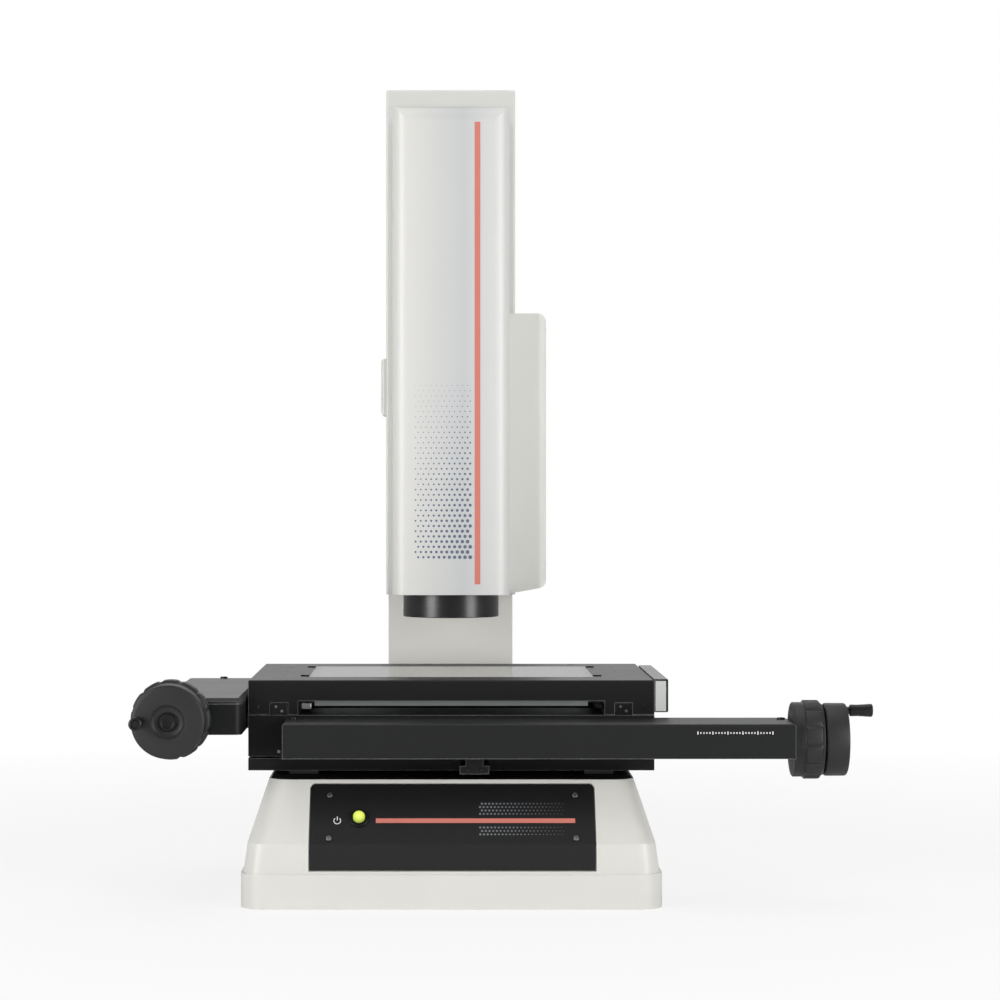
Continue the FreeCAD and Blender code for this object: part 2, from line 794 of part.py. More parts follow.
def make_base():
    """The plinth, the hollow base casting and the plates that close it."""
    plinth = new_body("plinth")
    half = plinth_half_width
    span_y = (-plinth_front, plinth_back)
    pad(plinth, "XY_Plane", 0, d.plinth_height, draw_rounded,
        mirrored(half), span_y, d.base_corner_radius + d.plinth_front_ledge)
    inner_x = mirrored(half - d.plinth_wall)
    inner_y = (d.plinth_wall - plinth_front, plinth_back - d.plinth_wall)
    pocket(plinth, "XY_Plane", 0, d.plinth_height, draw_rounded, inner_x, inner_y, d.plinth_wall)
    node("base_plinth", plinth)

    plate = new_body("floor")
    slack = d.seat_clearance
    pad(plate, "XY_Plane", 0, d.bottom_plate_thickness, draw_rounded,
        (inner_x[0] + slack, inner_x[1] - slack), (inner_y[0] + slack, inner_y[1] - slack),
        d.plinth_wall - slack)
    node("bottom_plate", plate)

    casting = new_body("casting")
    sections = []
    for level, width, front in (
        (d.plinth_height, base_foot_width, base_front),
        (d.base_shoulder_height, base_shoulder_width, base_front),
        (base_top, base_top_width, base_front - d.base_front_setback),
    ):
        section = new_sketch(casting, "XY_Plane", level)
        draw_rounded(section, mirrored(width / 2), (-front, base_back), d.base_corner_radius)
        sections.append(section)
    loft = casting.newObject("PartDesign::AdditiveLoft", "casting_loft")
    loft.Profile = sections[0]
    loft.Sections = sections[1:]
    loft.Ruled = True
    document.recompute()

    hollow_x = mirrored(base_top_width / 2 - d.base_wall)
    hollow_y = (d.base_front_setback - base_front + d.base_wall, base_back - d.base_wall)
    ceiling = base_top - d.base_wall
    plate_x = mirrored(base_top_width / 2 - d.top_plate_rim)
    plate_y = (d.base_front_setback - base_front + d.top_plate_rim,
               column_front - d.top_plate_rim)
    plate_bottom = base_top - d.top_plate_thickness
    plate_radius = d.base_corner_radius - d.top_plate_rim
    plate_seat = new_body("top_plate_seat")
    pad(plate_seat, "XY_Plane", plate_bottom, base_top + d.base_wall, draw_rounded,
        plate_x, plate_y, plate_radius)
    inlet_x, inlet_z = inlet_span()
    casting = cut(
        "casting_opened", casting,
        panel_form("panel_recess", d.panel_gap, d.plinth_wall),
        block("casting_hollow", hollow_x, hollow_y, (0, ceiling)),
        plate_seat,
        rod("casting_light", d.light_radius, "z", (0, 0, 0), base_top),
        leaning_rod("switch_seat", bezel_body_radius + slack, -switch_left, switch_height,
                    d.base_wall * 3, d.base_wall * 4),
        block("inlet_seat", inlet_x, (base_back - d.inlet_depth - slack, base_back + OVERRUN),
              inlet_z),
        *[leaning_rod(f"panel_screw_seat_{index}", d.panel_screw_radius, x, level,
                      d.panel_screw_length, d.panel_screw_length)
          for index, (x, level) in enumerate(panel_screw_places())],
    )
    node("base_casting", casting)

    cover = new_body("top_cover_blank")
    pad(cover, "XY_Plane", plate_bottom, base_top, draw_rounded,
        (plate_x[0] + slack, plate_x[1] - slack), (plate_y[0] + slack, plate_y[1] - slack),
        plate_radius - slack)
    node("base_top_plate", cut("top_cover", cover, rod(
        "top_cover_light", window_radius, "z", (0, 0, 0), base_top * 2)))
    node("backlight_window", rod("window", window_radius - slack, "z", (0, 0, plate_bottom),
                                 d.top_plate_thickness))
    lamp = fuse(
        "lamp",
        rod("lamp_body", d.light_radius + d.lamp_ledge, "z", (0, 0, ceiling - d.lamp_height),
            d.lamp_height),
        rod("lamp_lens", d.light_radius - slack, "z", (0, 0, ceiling - d.lamp_height),
            d.lamp_height + d.base_wall / 2),
    )
    node("backlight_lamp", lamp)
    supply_back = base_back - d.base_wall - d.power_supply_back_gap
    supply_z = (d.bottom_plate_thickness, d.bottom_plate_thickness + d.power_supply_height)
    node("power_supply", block(
        "supply", (-d.power_supply_left, d.power_supply_width - d.power_supply_left),
        (supply_back - d.power_supply_length, supply_back), supply_z))


def inlet_span():
    """The opening of the power inlet, across and up."""
    left = d.inlet_inset - base_top_width / 2
    bottom = d.plinth_height + d.inlet_lift
    return (left, left + d.inlet_width), (bottom, bottom + d.inlet_height)


def make_inlet():
    """The power inlet, with its flange on the back face and its socket open to the back."""
    across, up = inlet_span()
    slack = d.seat_clearance
    rim = d.inlet_flange
    back = base_back + d.inlet_flange_thickness
    housing = fuse(
        "inlet_solid",
        block("inlet_housing", (across[0] + slack, across[1] - slack),
              (base_back - d.inlet_depth, back), (up[0] + slack, up[1] - slack)),
        block("inlet_flange_plate", (across[0] - rim, across[1] + rim),
              (base_back, back), (up[0] - rim, up[1] + rim)),
    )
    wall = d.inlet_wall
    hole = block("inlet_socket", (across[0] + wall, across[1] - wall),
                 (back - d.inlet_socket_depth, back + OVERRUN), (up[0] + wall, up[1] - wall))
    node("power_inlet", cut("inlet", housing, hole))


def make_panel():
    """The front panel with its screws and the lit switch."""
    at_switch = (-switch_left, switch_height)
    slack = d.seat_clearance
    panel = cut(
        "panel", panel_form("panel_blank", size_of(0), size_of(0)),
        leaning_rod("panel_switch_hole", bezel_body_radius + slack, *at_switch,
                    d.base_wall, d.base_wall * 2),
        *[leaning_rod(f"panel_screw_hole_{index}", d.panel_screw_radius, x, level,
                      d.panel_screw_length, d.panel_screw_length * 2)
          for index, (x, level) in enumerate(panel_screw_places())],
    )
    node("front_panel", panel)

    screws = []
    for index, (x, level) in enumerate(panel_screw_places()):
        shank = leaning_rod(f"panel_shank_{index}", d.panel_screw_radius - slack, x, level,
                            d.panel_screw_length - slack, d.panel_screw_length)
        head = leaning_rod(f"panel_head_{index}", d.panel_screw_head_radius, x, level, 0,
                           d.panel_screw_head_height)
        screws.append(fuse(f"panel_screw_{index}", shank, head))
    node("panel_screws", group("panel_screw_group", screws))

    bore = d.button_radius + d.button_clearance
    bezel = cut(
        "bezel",
        fuse("bezel_solid",
             leaning_rod("bezel_rim", bezel_body_radius + d.bezel_flange, *at_switch, 0,
                         d.bezel_height),
             leaning_rod("bezel_barrel", bezel_body_radius, *at_switch, bezel_body_length,
                         bezel_body_length)),
        leaning_rod("bezel_bore", bore, *at_switch, bezel_body_length + OVERRUN,
                    bezel_body_length + d.bezel_height + 2 * OVERRUN),
    )
    node("power_bezel", bezel)
    button = leaning_rod("button", d.button_radius, *at_switch,
                         d.button_length - d.button_proud, d.button_length)
    node("power_button", button)


# Stage: fixed plate, X carriage and table

def guide_rails(name, along, places, half_length, width, bottom, height):
    """A pair of parallel rails of plain section."""
    rails = []
    for index, across in enumerate(places):
        side = (across - width / 2, across + width / 2)
        run = mirrored(half_length)
        x, y = (run, side) if along == "x" else (side, run)
        rails.append(block(f"{name}_{index}", x, y, (bottom, bottom + height)))
    return group(name, rails)


def saddle(name, along, centre, length, width, bottom, top, rail_width, rail_top):
    """One guide block that straddles its rail with a running clearance."""
    slot = rail_width / 2 + d.guide_clearance
    run = (centre[0] - length / 2, centre[0] + length / 2)
    side = (centre[1] - width / 2, centre[1] + width / 2)
    free = (centre[1] - slot, centre[1] + slot)
    long_run = (run[0] - OVERRUN, run[1] + OVERRUN)
    spans = (run, side, long_run, free)
    if along == "y":
        spans = (side, run, free, long_run)
    return cut(
        name,
        block(f"{name}_blank", spans[0], spans[1], (bottom, top)),
        block(f"{name}_slot", spans[2], spans[3],
              (bottom - OVERRUN, rail_top + d.guide_clearance)),
    )


def make_stage_base():
    """The fixed plate on its seats, with the rails of the X slide."""
    seats = []
    outer_x = stage_half_length - d.seat_end_inset
    outer_y = stage_half_depth - d.seat_edge_inset
    for side in (-1, 1):
        for end in (-1, 1):
            x = sorted((side * outer_x, side * (outer_x - d.seat_side)),
                       key=lambda size: size.value)
            y = sorted((end * outer_y, end * (outer_y - d.seat_side)),
                       key=lambda size: size.value)
            seats.append(block("seat", x, y, (base_top, lower_plate_bottom)))
    node("stage_seats", group("seats", seats))

    plate = cut(
        "fixed_plate",
        block("fixed_plate_blank", mirrored(stage_half_length), mirrored(stage_half_depth),
              (lower_plate_bottom, lower_plate_top)),
        rod("fixed_plate_light", window_radius + d.lower_plate_aperture_gap, "z",
            (0, 0, base_top), d.base_height),
    )
    node("stage_base_plate", plate)
    rails = guide_rails("x_rails", "x", (-x_rail_place, x_rail_place),
                        stage_half_length - d.x_rail_end_gap, d.x_rail_width,
                        lower_plate_top, d.x_rail_height)
    node("x_guide_rails", rails)


def block_centres(spacing, place_across):
    """The centres of four guide blocks, along and across their rails."""
    for along in (-spacing / 2, spacing / 2):
        for across in (-place_across, place_across):
            yield along, across


def make_x_carriage():
    """The carriage that moves in X, with its guide blocks below and the Y rails on top."""
    slack = d.guide_clearance
    rail_top = lower_plate_top + d.x_rail_height
    block_bottom = lower_plate_top + d.x_block_lift
    block_top = block_bottom + d.x_block_height
    frame = new_body("carriage")
    pad(frame, "XY_Plane", carriage_bottom, carriage_top, draw_corners, (
        (-stage_half_length, -stage_half_depth), (stage_half_length, -stage_half_depth),
        (stage_half_length, stage_half_depth), (-stage_half_length, stage_half_depth)))
    pocket(frame, "XY_Plane", carriage_bottom, carriage_top, draw_rounded,
           mirrored(d.x_travel + d.light_radius + d.carriage_aperture_room),
           mirrored(d.carriage_aperture_width / 2), d.carriage_aperture_radius)
    openings = []
    for side in (-1, 1):
        middle = side * x_rail_place
        half = d.x_rail_width / 2 + 2 * slack
        openings.append(block("rail_way", mirrored(d.stage_length), (middle - half, middle + half),
                              (carriage_bottom - OVERRUN, rail_top + 2 * slack)))
    saddles = []
    for along, across in block_centres(d.x_block_spacing, x_rail_place):
        half_length = d.x_block_length / 2
        half_width = d.x_block_width / 2
        openings.append(block(
            "block_seat", (along - half_length - slack, along + half_length + slack),
            (across - half_width - slack, across + half_width + slack),
            (carriage_bottom - OVERRUN, block_top)))
        saddles.append(saddle("x_saddle", "x", (along, across), d.x_block_length,
                              d.x_block_width, block_bottom, block_top, d.x_rail_width, rail_top))
    node("x_carriage_frame", cut("carriage_opened", frame, *openings))
    node("x_guide_blocks", group("x_saddles", saddles))
    rails = guide_rails("y_rails", "y", (-y_rail_place, y_rail_place),
                        stage_half_depth - d.y_rail_end_gap, d.y_rail_width,
                        carriage_top, d.y_rail_height)
    node("y_guide_rails", rails)


def table_screw_places():
    """The heads in a row behind the glass."""
    for across in (-d.table_screw_outer, -d.table_screw_inner, 0, d.table_screw_inner,
                   d.table_screw_outer, stage_half_length - d.table_screw_end_inset):
        yield across, stage_half_depth - d.table_screw_inset


def make_table():
    """The table that moves in Y, with its glass, guide blocks, scale housing and front bar."""
    slack = d.guide_clearance
    rail_top = carriage_top + d.y_rail_height
    block_bottom = carriage_top + d.y_block_lift
    block_top = block_bottom + d.y_block_height
    half_x, half_y = stage_half_length, stage_half_depth
    glass_x = half_x - d.glass_end_margin
    glass_y = half_y - d.glass_side_margin

    table = new_body("table")
    pad(table, "XY_Plane", table_bottom, table_top, draw_corners, (
        (-half_x, -half_y), (half_x, -half_y), (half_x, half_y), (-half_x, half_y)))
    soften(table, "Fillet", d.table_edge_radius,
           lambda edge: near(edge.CenterOfMass.z, table_top))
    relief = table_relief
    pocket(table, "XZ_Plane", -half_y, half_y, draw_corners, (
        (-relief, table_bottom - OVERRUN), (relief, table_bottom - OVERRUN),
        (relief, web_bottom), (-relief, web_bottom)))
    pocket(table, "XY_Plane", table_top - d.glass_thickness, table_top, draw_corners, (
        (-glass_x, -glass_y), (glass_x, -glass_y), (glass_x, glass_y), (-glass_x, glass_y)))
    hole_x, hole_y = glass_x - d.glass_ledge, glass_y - d.glass_ledge
    pocket(table, "XY_Plane", web_bottom, table_top, draw_corners, (
        (-hole_x, -hole_y), (hole_x, -hole_y), (hole_x, hole_y), (-hole_x, hole_y)))

    openings = []
    saddles = []
    for side in (-1, 1):
        middle = side * y_rail_place
        half = d.y_rail_width / 2 + 2 * slack
        openings.append(block("y_rail_way", (middle - half, middle + half),
                              mirrored(d.stage_depth),
                              (table_bottom - OVERRUN, rail_top + 2 * slack)))
        for end in (-1, 0, 1):
            openings.append(rod("tapped_hole", d.tapped_hole_radius, "z",
                                (side * (half_x - d.tapped_hole_inset),
                                 end * d.tapped_hole_pitch / 2,
                                 table_top - d.tapped_hole_depth), d.tapped_hole_depth * 2))
        for end in (-1, 1):
            edge = side * glass_x
            slot_x = sorted((edge, edge + side * d.clip_slot_length), key=lambda size: size.value)
            middle_y = end * (glass_y - d.clip_slot_inset)
            slot_y = (middle_y - d.clip_slot_width / 2, middle_y + d.clip_slot_width / 2)
            openings.append(block("clip_slot", slot_x, slot_y,
                                  (table_top - d.clip_slot_depth, table_top + OVERRUN)))
    for along, across in block_centres(d.y_block_spacing, y_rail_place):
        half_length = d.y_block_length / 2
        half_width = d.y_block_width / 2
        openings.append(block(
            "y_block_seat", (across - half_width - slack, across + half_width + slack),
            (along - half_length - slack, along + half_length + slack),
            (table_bottom - OVERRUN, block_top)))
        saddles.append(saddle("y_saddle", "y", (along, across), d.y_block_length,
                              d.y_block_width, block_bottom, block_top, d.y_rail_width, rail_top))
    screws = []
    for x, y in table_screw_places():
        head_bottom = table_top - d.table_screw_head_height
        openings.append(rod("screw_seat", d.table_screw_head_radius + slack, "z",
                            (x, y, head_bottom), d.table_screw_head_height * 2))
        openings.append(rod("screw_way", d.table_screw_radius + slack, "z",
                            (x, y, head_bottom - d.table_screw_length), d.table_screw_length * 2))
        screws.append(fuse(
            "table_screw",
            rod("screw_head", d.table_screw_head_radius, "z", (x, y, head_bottom),
                d.table_screw_head_height - slack),
            rod("screw_shank", d.table_screw_radius, "z",
                (x, y, head_bottom - d.table_screw_length), d.table_screw_length)))
    node("stage_table", cut("table_opened", table, *openings))
    node("y_guide_blocks", group("y_saddles", saddles))
    node("table_screws", group("table_screw_group", screws))

    room = d.glass_clearance
    node("stage_glass", block("glass", mirrored(glass_x - room), mirrored(glass_y - room),
                              (table_top - d.glass_thickness, table_top)))
    bar_front = d.front_bar_inset - half_y
    node("front_bar", block("bar", mirrored(relief - d.front_bar_end_gap),
                            (bar_front, bar_front + d.front_bar_depth),
                            (web_bottom - d.front_bar_height, web_bottom)))
    scale_bottom = table_bottom + d.scale_housing_lift
    scale = new_body("scale")
    pad(scale, "XZ_Plane", -half_y, half_y - d.scale_housing_back_inset, draw_corners, (
        (half_x, scale_bottom), (half_x + d.scale_housing_width, scale_bottom),
        (half_x + d.scale_housing_width, scale_bottom + d.scale_housing_height),
        (half_x, scale_bottom + d.scale_housing_height)))
    outer = half_x + d.scale_housing_width
    soften(scale, "Fillet", d.table_edge_radius,
           lambda edge: runs_along(edge, ALONG_Y) and near(edge.CenterOfMass.x, outer))
    node("y_scale_housing", scale)


# Drives

DRIVE_TURNS = {"x": Rotation(ALONG_Y, 90), "y": Rotation(ALONG_X, 90)}


def stand_on_drive(made, drive, start):
    """Turns a piece made about Z on to the axis of a drive, out from the drive's end."""
    made.Placement = Placement(Vector(), DRIVE_TURNS[drive])
    return place(made, start)


def make_handwheel(drive, start, screw_length):
    """The release ring, handwheel, feed screw and crank of one drive.

    All are made about Z from the end of the drive's housing at height 0, the crank at -X.
    """
    ring = new_body(f"{drive}_ring")
    bore = d.drive_boss_radius + d.guide_clearance
    begin = d.ring_start_gap
    band = d.ring_radius + d.ring_band_rise
    step = d.ring_plain_length
    turn(ring, (
        (bore, begin), (d.ring_radius, begin), (d.ring_radius, step),
        (band, step), (band, d.ring_length - d.ring_chamfer),
        (d.ring_radius - d.ring_chamfer, d.ring_length), (bore, d.ring_length)))
    half_groove = d.ring_groove_width / 2
    floor = band - d.ring_groove_depth
    pocket(ring, "XY_Plane", step, d.ring_length, draw_corners, (
        (floor, -half_groove), (band * 2, -half_groove), (band * 2, half_groove),
        (floor, half_groove)))
    pattern = ring.newObject("PartDesign::PolarPattern", f"{drive}_ring_pattern")
    pattern.Originals = [ring.Tip]
    pattern.Axis = (origin_feature(ring, "Z_Axis"), [""])
    pattern.Angle = 360
    pattern.Occurrences = RING_GROOVE_COUNT
    ring.Tip = pattern
    node(f"{drive}_release_ring", stand_on_drive(ring, drive, start))

    first = wheel_start
    last = first + d.wheel_length
    wheel = new_body(f"{drive}_wheel")
    shaft = d.feed_screw_radius
    bevel = d.wheel_edge
    crank_offset = d.wheel_radius - d.crank_inset
    blind = last - d.wheel_recess_depth * 2
    turn(wheel, (
        (shaft, first), (d.wheel_radius - bevel, first), (d.wheel_radius, first + bevel),
        (d.wheel_radius, last - d.wheel_cone - bevel),
        (d.wheel_radius - bevel, last - d.wheel_cone),
        (d.wheel_recess_radius, last), (d.wheel_recess_radius, last - d.wheel_recess_depth),
        (d.wheel_hub_radius, last - d.wheel_recess_depth), (d.wheel_hub_radius, last),
        (0, last), (0, blind), (shaft, blind)))
    pin_hole = rod(f"{drive}_pin_hole", d.crank_pin_radius, "z",
                   (-crank_offset, 0, last - d.crank_pin_depth), d.crank_pin_depth * 2)
    node(f"{drive}_handwheel", stand_on_drive(
        cut(f"{drive}_wheel_bored", wheel, pin_hole), drive, start))

    screw = rod(f"{drive}_screw", d.feed_screw_radius, "z", (0, 0, -screw_length),
                screw_length + blind)
    node(f"{drive}_feed_screw", stand_on_drive(group(f"{drive}_screw_placed", [screw]),
                                               drive, start))

    knob_start = last - d.wheel_cone / 2 + d.crank_neck_length
    knob_end = knob_start + d.crank_knob_length
    pin_end = knob_end - d.crank_knob_cap
    pin = fuse(
        f"{drive}_pin",
        rod(f"{drive}_pin_core", d.crank_pin_radius, "z",
            (-crank_offset, 0, last - d.crank_pin_depth), pin_end - last + d.crank_pin_depth),
        rod(f"{drive}_pin_neck", d.crank_neck_radius, "z", (-crank_offset, 0, last),
            knob_start - last - d.guide_clearance))
    node(f"{drive}_crank_pin", stand_on_drive(pin, drive, start))

    knob = new_body(f"{drive}_knob")
    hollow = d.crank_pin_radius + d.bearing_clearance
    rounding = d.crank_knob_edge
    turn(knob, (
        (hollow, knob_start), (d.crank_knob_inner_radius - rounding, knob_start),
        (d.crank_knob_inner_radius, knob_start + rounding),
        (d.crank_knob_outer_radius, knob_end - 1.5 * rounding),
        (d.crank_knob_outer_radius - rounding, knob_end),
        (0, knob_end), (0, pin_end + d.guide_clearance), (hollow, pin_end + d.guide_clearance)))
    place(knob, (-crank_offset, 0, 0))
    node(f"{drive}_crank_knob", stand_on_drive(group(f"{drive}_knob_placed", [knob]),
                                               drive, start))


def bearing(name, along, start):
    """A bearing ring about a feed screw."""
    before = {"x": (start[0] - OVERRUN, start[1], start[2]),
              "y": (start[0], start[1] - OVERRUN, start[2])}
    return cut(
        name,
        rod(f"{name}_outer", d.bearing_radius, along, start, d.bearing_width),
        rod(f"{name}_bore", d.feed_screw_radius + d.bearing_clearance, along, before[along],
            d.bearing_width + 2 * OVERRUN))


def arm_screw_places():
    """Where the two screws in the top of the arm seat."""
    y = d.drive_screw_setback - x_axis_front
    yield arm_right - d.drive_screw_inset, y, arm_top
    yield d.drive_screw_inset - arm_left, y, arm_top


def lid_screw_places():
    """Where the two screws in the lid of the drive box seat."""
    yield -drive_box_middle, drive_box_back - d.drive_screw_inset, drive_box_top
    yield -drive_box_middle, d.drive_screw_inset - drive_box_front, drive_box_top


def drive_screw_hole(name, seat):
    """The hole for the shank of a screw that seats at a point."""
    x, y, level = seat
    depth = d.drive_screw_length + d.seat_clearance
    return rod(name, d.drive_screw_radius + d.seat_clearance, "z", (x, y, level - depth),
               depth + OVERRUN)


def make_x_drive():
    """The arm across the front of the carriage, with its screw, bearings and handwheel."""
    axis_y, axis_z = -x_axis_front, x_axis_height
    left, right = -arm_left, arm_right
    arm = new_body("arm")
    pad(arm, "YZ_Plane", left, right, draw_corners, (
        (-arm_front, arm_bottom), (-arm_back, arm_bottom),
        (-arm_back, arm_top), (-arm_front, arm_top)))
    soften(arm, "Fillet", d.arm_edge_radius, lambda edge: near(edge.CenterOfMass.z, arm_top))
    feet = []
    for centre in (left + d.arm_foot_width, stage_half_length - d.arm_foot_width * 2):
        feet.append(block("arm_foot", (centre - d.arm_foot_width / 2, centre + d.arm_foot_width / 2),
                          (-arm_back - d.arm_wall, -stage_half_depth),
                          (arm_bottom + d.arm_wall, arm_top - d.arm_wall)))
    boss = rod("arm_boss", d.drive_boss_radius, "x", (right, axis_y, axis_z),
               d.ring_length - d.boss_setback)
    hollow_half = d.nut_radius + d.nut_room
    cavity = block(
        "arm_cavity", (left + d.arm_end_wall, right - d.arm_end_wall),
        (axis_y - hollow_half, axis_y + hollow_half),
        (arm_bottom + d.arm_wall, axis_z + hollow_half))
    reach = d.x_travel + d.nut_arm_length / 2 + d.slot_end_room
    slot_half = d.nut_arm_thickness / 2 + d.nut_arm_gap
    slot = block("arm_slot", (d.nut_place - reach, d.nut_place + reach),
                 (axis_y - slot_half, axis_y + slot_half), (arm_bottom - OVERRUN, axis_z))
    inner_left = left + d.arm_end_wall - d.bearing_width
    inner_right = right - d.arm_end_wall
    housing = cut(
        "arm_opened", fuse("arm_solid", arm, boss, *feet), cavity, slot,
        rod("arm_seat_left", d.bearing_radius, "x", (inner_left, axis_y, axis_z), d.bearing_width),
        rod("arm_seat_right", d.bearing_radius, "x", (inner_right, axis_y, axis_z),
            d.bearing_width),
        rod("arm_shaft_way", d.feed_screw_radius + d.shaft_way_room, "x",
            (inner_left - OVERRUN, axis_y, axis_z), right - inner_left + d.ring_length + 2),
        *[drive_screw_hole("arm_screw_seat", place) for place in arm_screw_places()])
    node("x_drive_housing", housing)
    node("x_drive_bearings", group("x_bearings", [
        bearing("x_bearing_left", "x", (inner_left, axis_y, axis_z)),
        bearing("x_bearing_right", "x", (inner_right, axis_y, axis_z))]))
    make_handwheel("x", (right, axis_y, axis_z), right - inner_left)

    nut_x = (d.nut_place - d.nut_length / 2, d.nut_place + d.nut_length / 2)
    arm_x = (d.nut_place - d.nut_arm_length / 2, d.nut_place + d.nut_arm_length / 2)
    foot_bottom = lower_plate_bottom + d.nut_foot_lift
    foot_z = (foot_bottom, foot_bottom + d.nut_foot_thickness)
    nut = cut(
        "x_nut",
        fuse("x_nut_solid",
             rod("x_nut_barrel", d.nut_radius, "x", (nut_x[0], axis_y, axis_z), d.nut_length),
             block("x_nut_upright", arm_x,
                   (axis_y - d.nut_arm_thickness / 2, axis_y + d.nut_arm_thickness / 2),
                   (foot_z[0], axis_z)),
             block("x_nut_foot", nut_x,
                   (axis_y - d.nut_arm_thickness / 2, -stage_half_depth), foot_z)),
        rod("x_nut_bore", d.feed_screw_radius + d.feed_screw_clearance, "x",
            (nut_x[0] - OVERRUN, axis_y, axis_z), d.nut_length + 2 * OVERRUN))
    node("x_feed_nut", nut)


def make_y_drive():
    """The box at the left of the stage, with its lid, screw, bearings and handwheel."""
    axis_x, axis_z = -y_axis_left, y_axis_height
    left, right = -drive_box_left, -drive_box_right
    front, back = -drive_box_front, drive_box_back
    lid_bottom = drive_lid_bottom
    box = new_body("drive_box")
    pad(box, "XY_Plane", drive_box_bottom, lid_bottom, draw_rounded, (left, right),
        (front, back), d.drive_box_corner_radius)
    boss = rod("box_boss", d.drive_boss_radius, "y",
               (axis_x, front - d.ring_length + d.boss_setback, axis_z),
               d.ring_length - d.boss_setback)
    feet = []
    for start in (d.arm_end_wall - stage_half_depth, d.arm_end_wall * 2):
        feet.append(block("box_foot", (right - d.arm_wall, -stage_half_length),
                          (start, start + d.arm_foot_width),
                          (drive_box_bottom, carriage_top - d.table_gap)))
    wall = d.arm_wall
    cavity = block("box_cavity", (left + wall, right - wall),
                   (front + d.arm_end_wall, back - d.arm_end_wall),
                   (drive_box_bottom + wall, lid_bottom + OVERRUN))
    reach = d.y_travel + d.y_nut_arm_width / 2 + d.slot_end_room
    nut_z = (axis_z, axis_z + d.y_nut_arm_height)
    slot = block("box_slot", (right - wall * 2, right + OVERRUN), mirrored(reach),
                 (nut_z[0] - d.y_nut_arm_gap, nut_z[1] + d.y_nut_arm_gap))
    first = front + d.arm_end_wall - d.bearing_width
    second = back - d.arm_end_wall
    housing = cut(
        "box_opened", fuse("box_solid", box, boss, *feet), cavity, slot,
        rod("box_seat_front", d.bearing_radius, "y", (axis_x, first, axis_z), d.bearing_width),
        rod("box_seat_back", d.bearing_radius, "y", (axis_x, second, axis_z), d.bearing_width),
        rod("box_shaft_way", d.feed_screw_radius + d.shaft_way_room, "y",
            (axis_x, front - d.ring_length, axis_z), d.ring_length + second - front
            + d.bearing_width + OVERRUN),
        *[drive_screw_hole("box_screw_seat", place) for place in lid_screw_places()])
    node("y_drive_housing", housing)

    lid = new_body("lid")
    pad(lid, "XY_Plane", lid_bottom, drive_box_top, draw_rounded, (left, right),
        (front, back), d.drive_box_corner_radius)
    soften(lid, "Chamfer", d.drive_lid_bevel,
           lambda edge: near(edge.CenterOfMass.z, drive_box_top))
    node("y_drive_lid", cut("lid_drilled", lid, *[
        drive_screw_hole("lid_screw_way", place) for place in lid_screw_places()]))
    node("y_drive_bearings", group("y_bearings", [
        bearing("y_bearing_front", "y", (axis_x, first, axis_z)),
        bearing("y_bearing_back", "y", (axis_x, second, axis_z))]))
    make_handwheel("y", (axis_x, front, axis_z), second + d.bearing_width - front)

    half = d.y_nut_arm_width / 2
    nut = cut(
        "y_nut",
        fuse("y_nut_solid",
             rod("y_nut_barrel", d.y_nut_radius, "y", (axis_x, -d.y_nut_length / 2, axis_z),
                 d.y_nut_length),
             block("y_nut_arm", (axis_x, -stage_half_length), mirrored(half), nut_z)),
        rod("y_nut_bore", d.feed_screw_radius + d.feed_screw_clearance, "y",
            (axis_x, -d.y_nut_length, axis_z), d.y_nut_length * 2))
    node("y_feed_nut", nut)


def make_drive_screws():
    """The cap screws on the arm and on the lid of the drive box."""
    screws = []
    for x, y, level in (*arm_screw_places(), *lid_screw_places()):
        screws.append(fuse(
            "drive_screw",
            rod("drive_screw_head", d.drive_screw_head_radius, "z", (x, y, level),
                d.drive_screw_head_height),
            rod("drive_screw_shank", d.drive_screw_radius, "z",
                (x, y, level - d.drive_screw_length), d.drive_screw_length)))
    node("drive_screws", group("drive_screw_group", screws))


# Column and Z slide

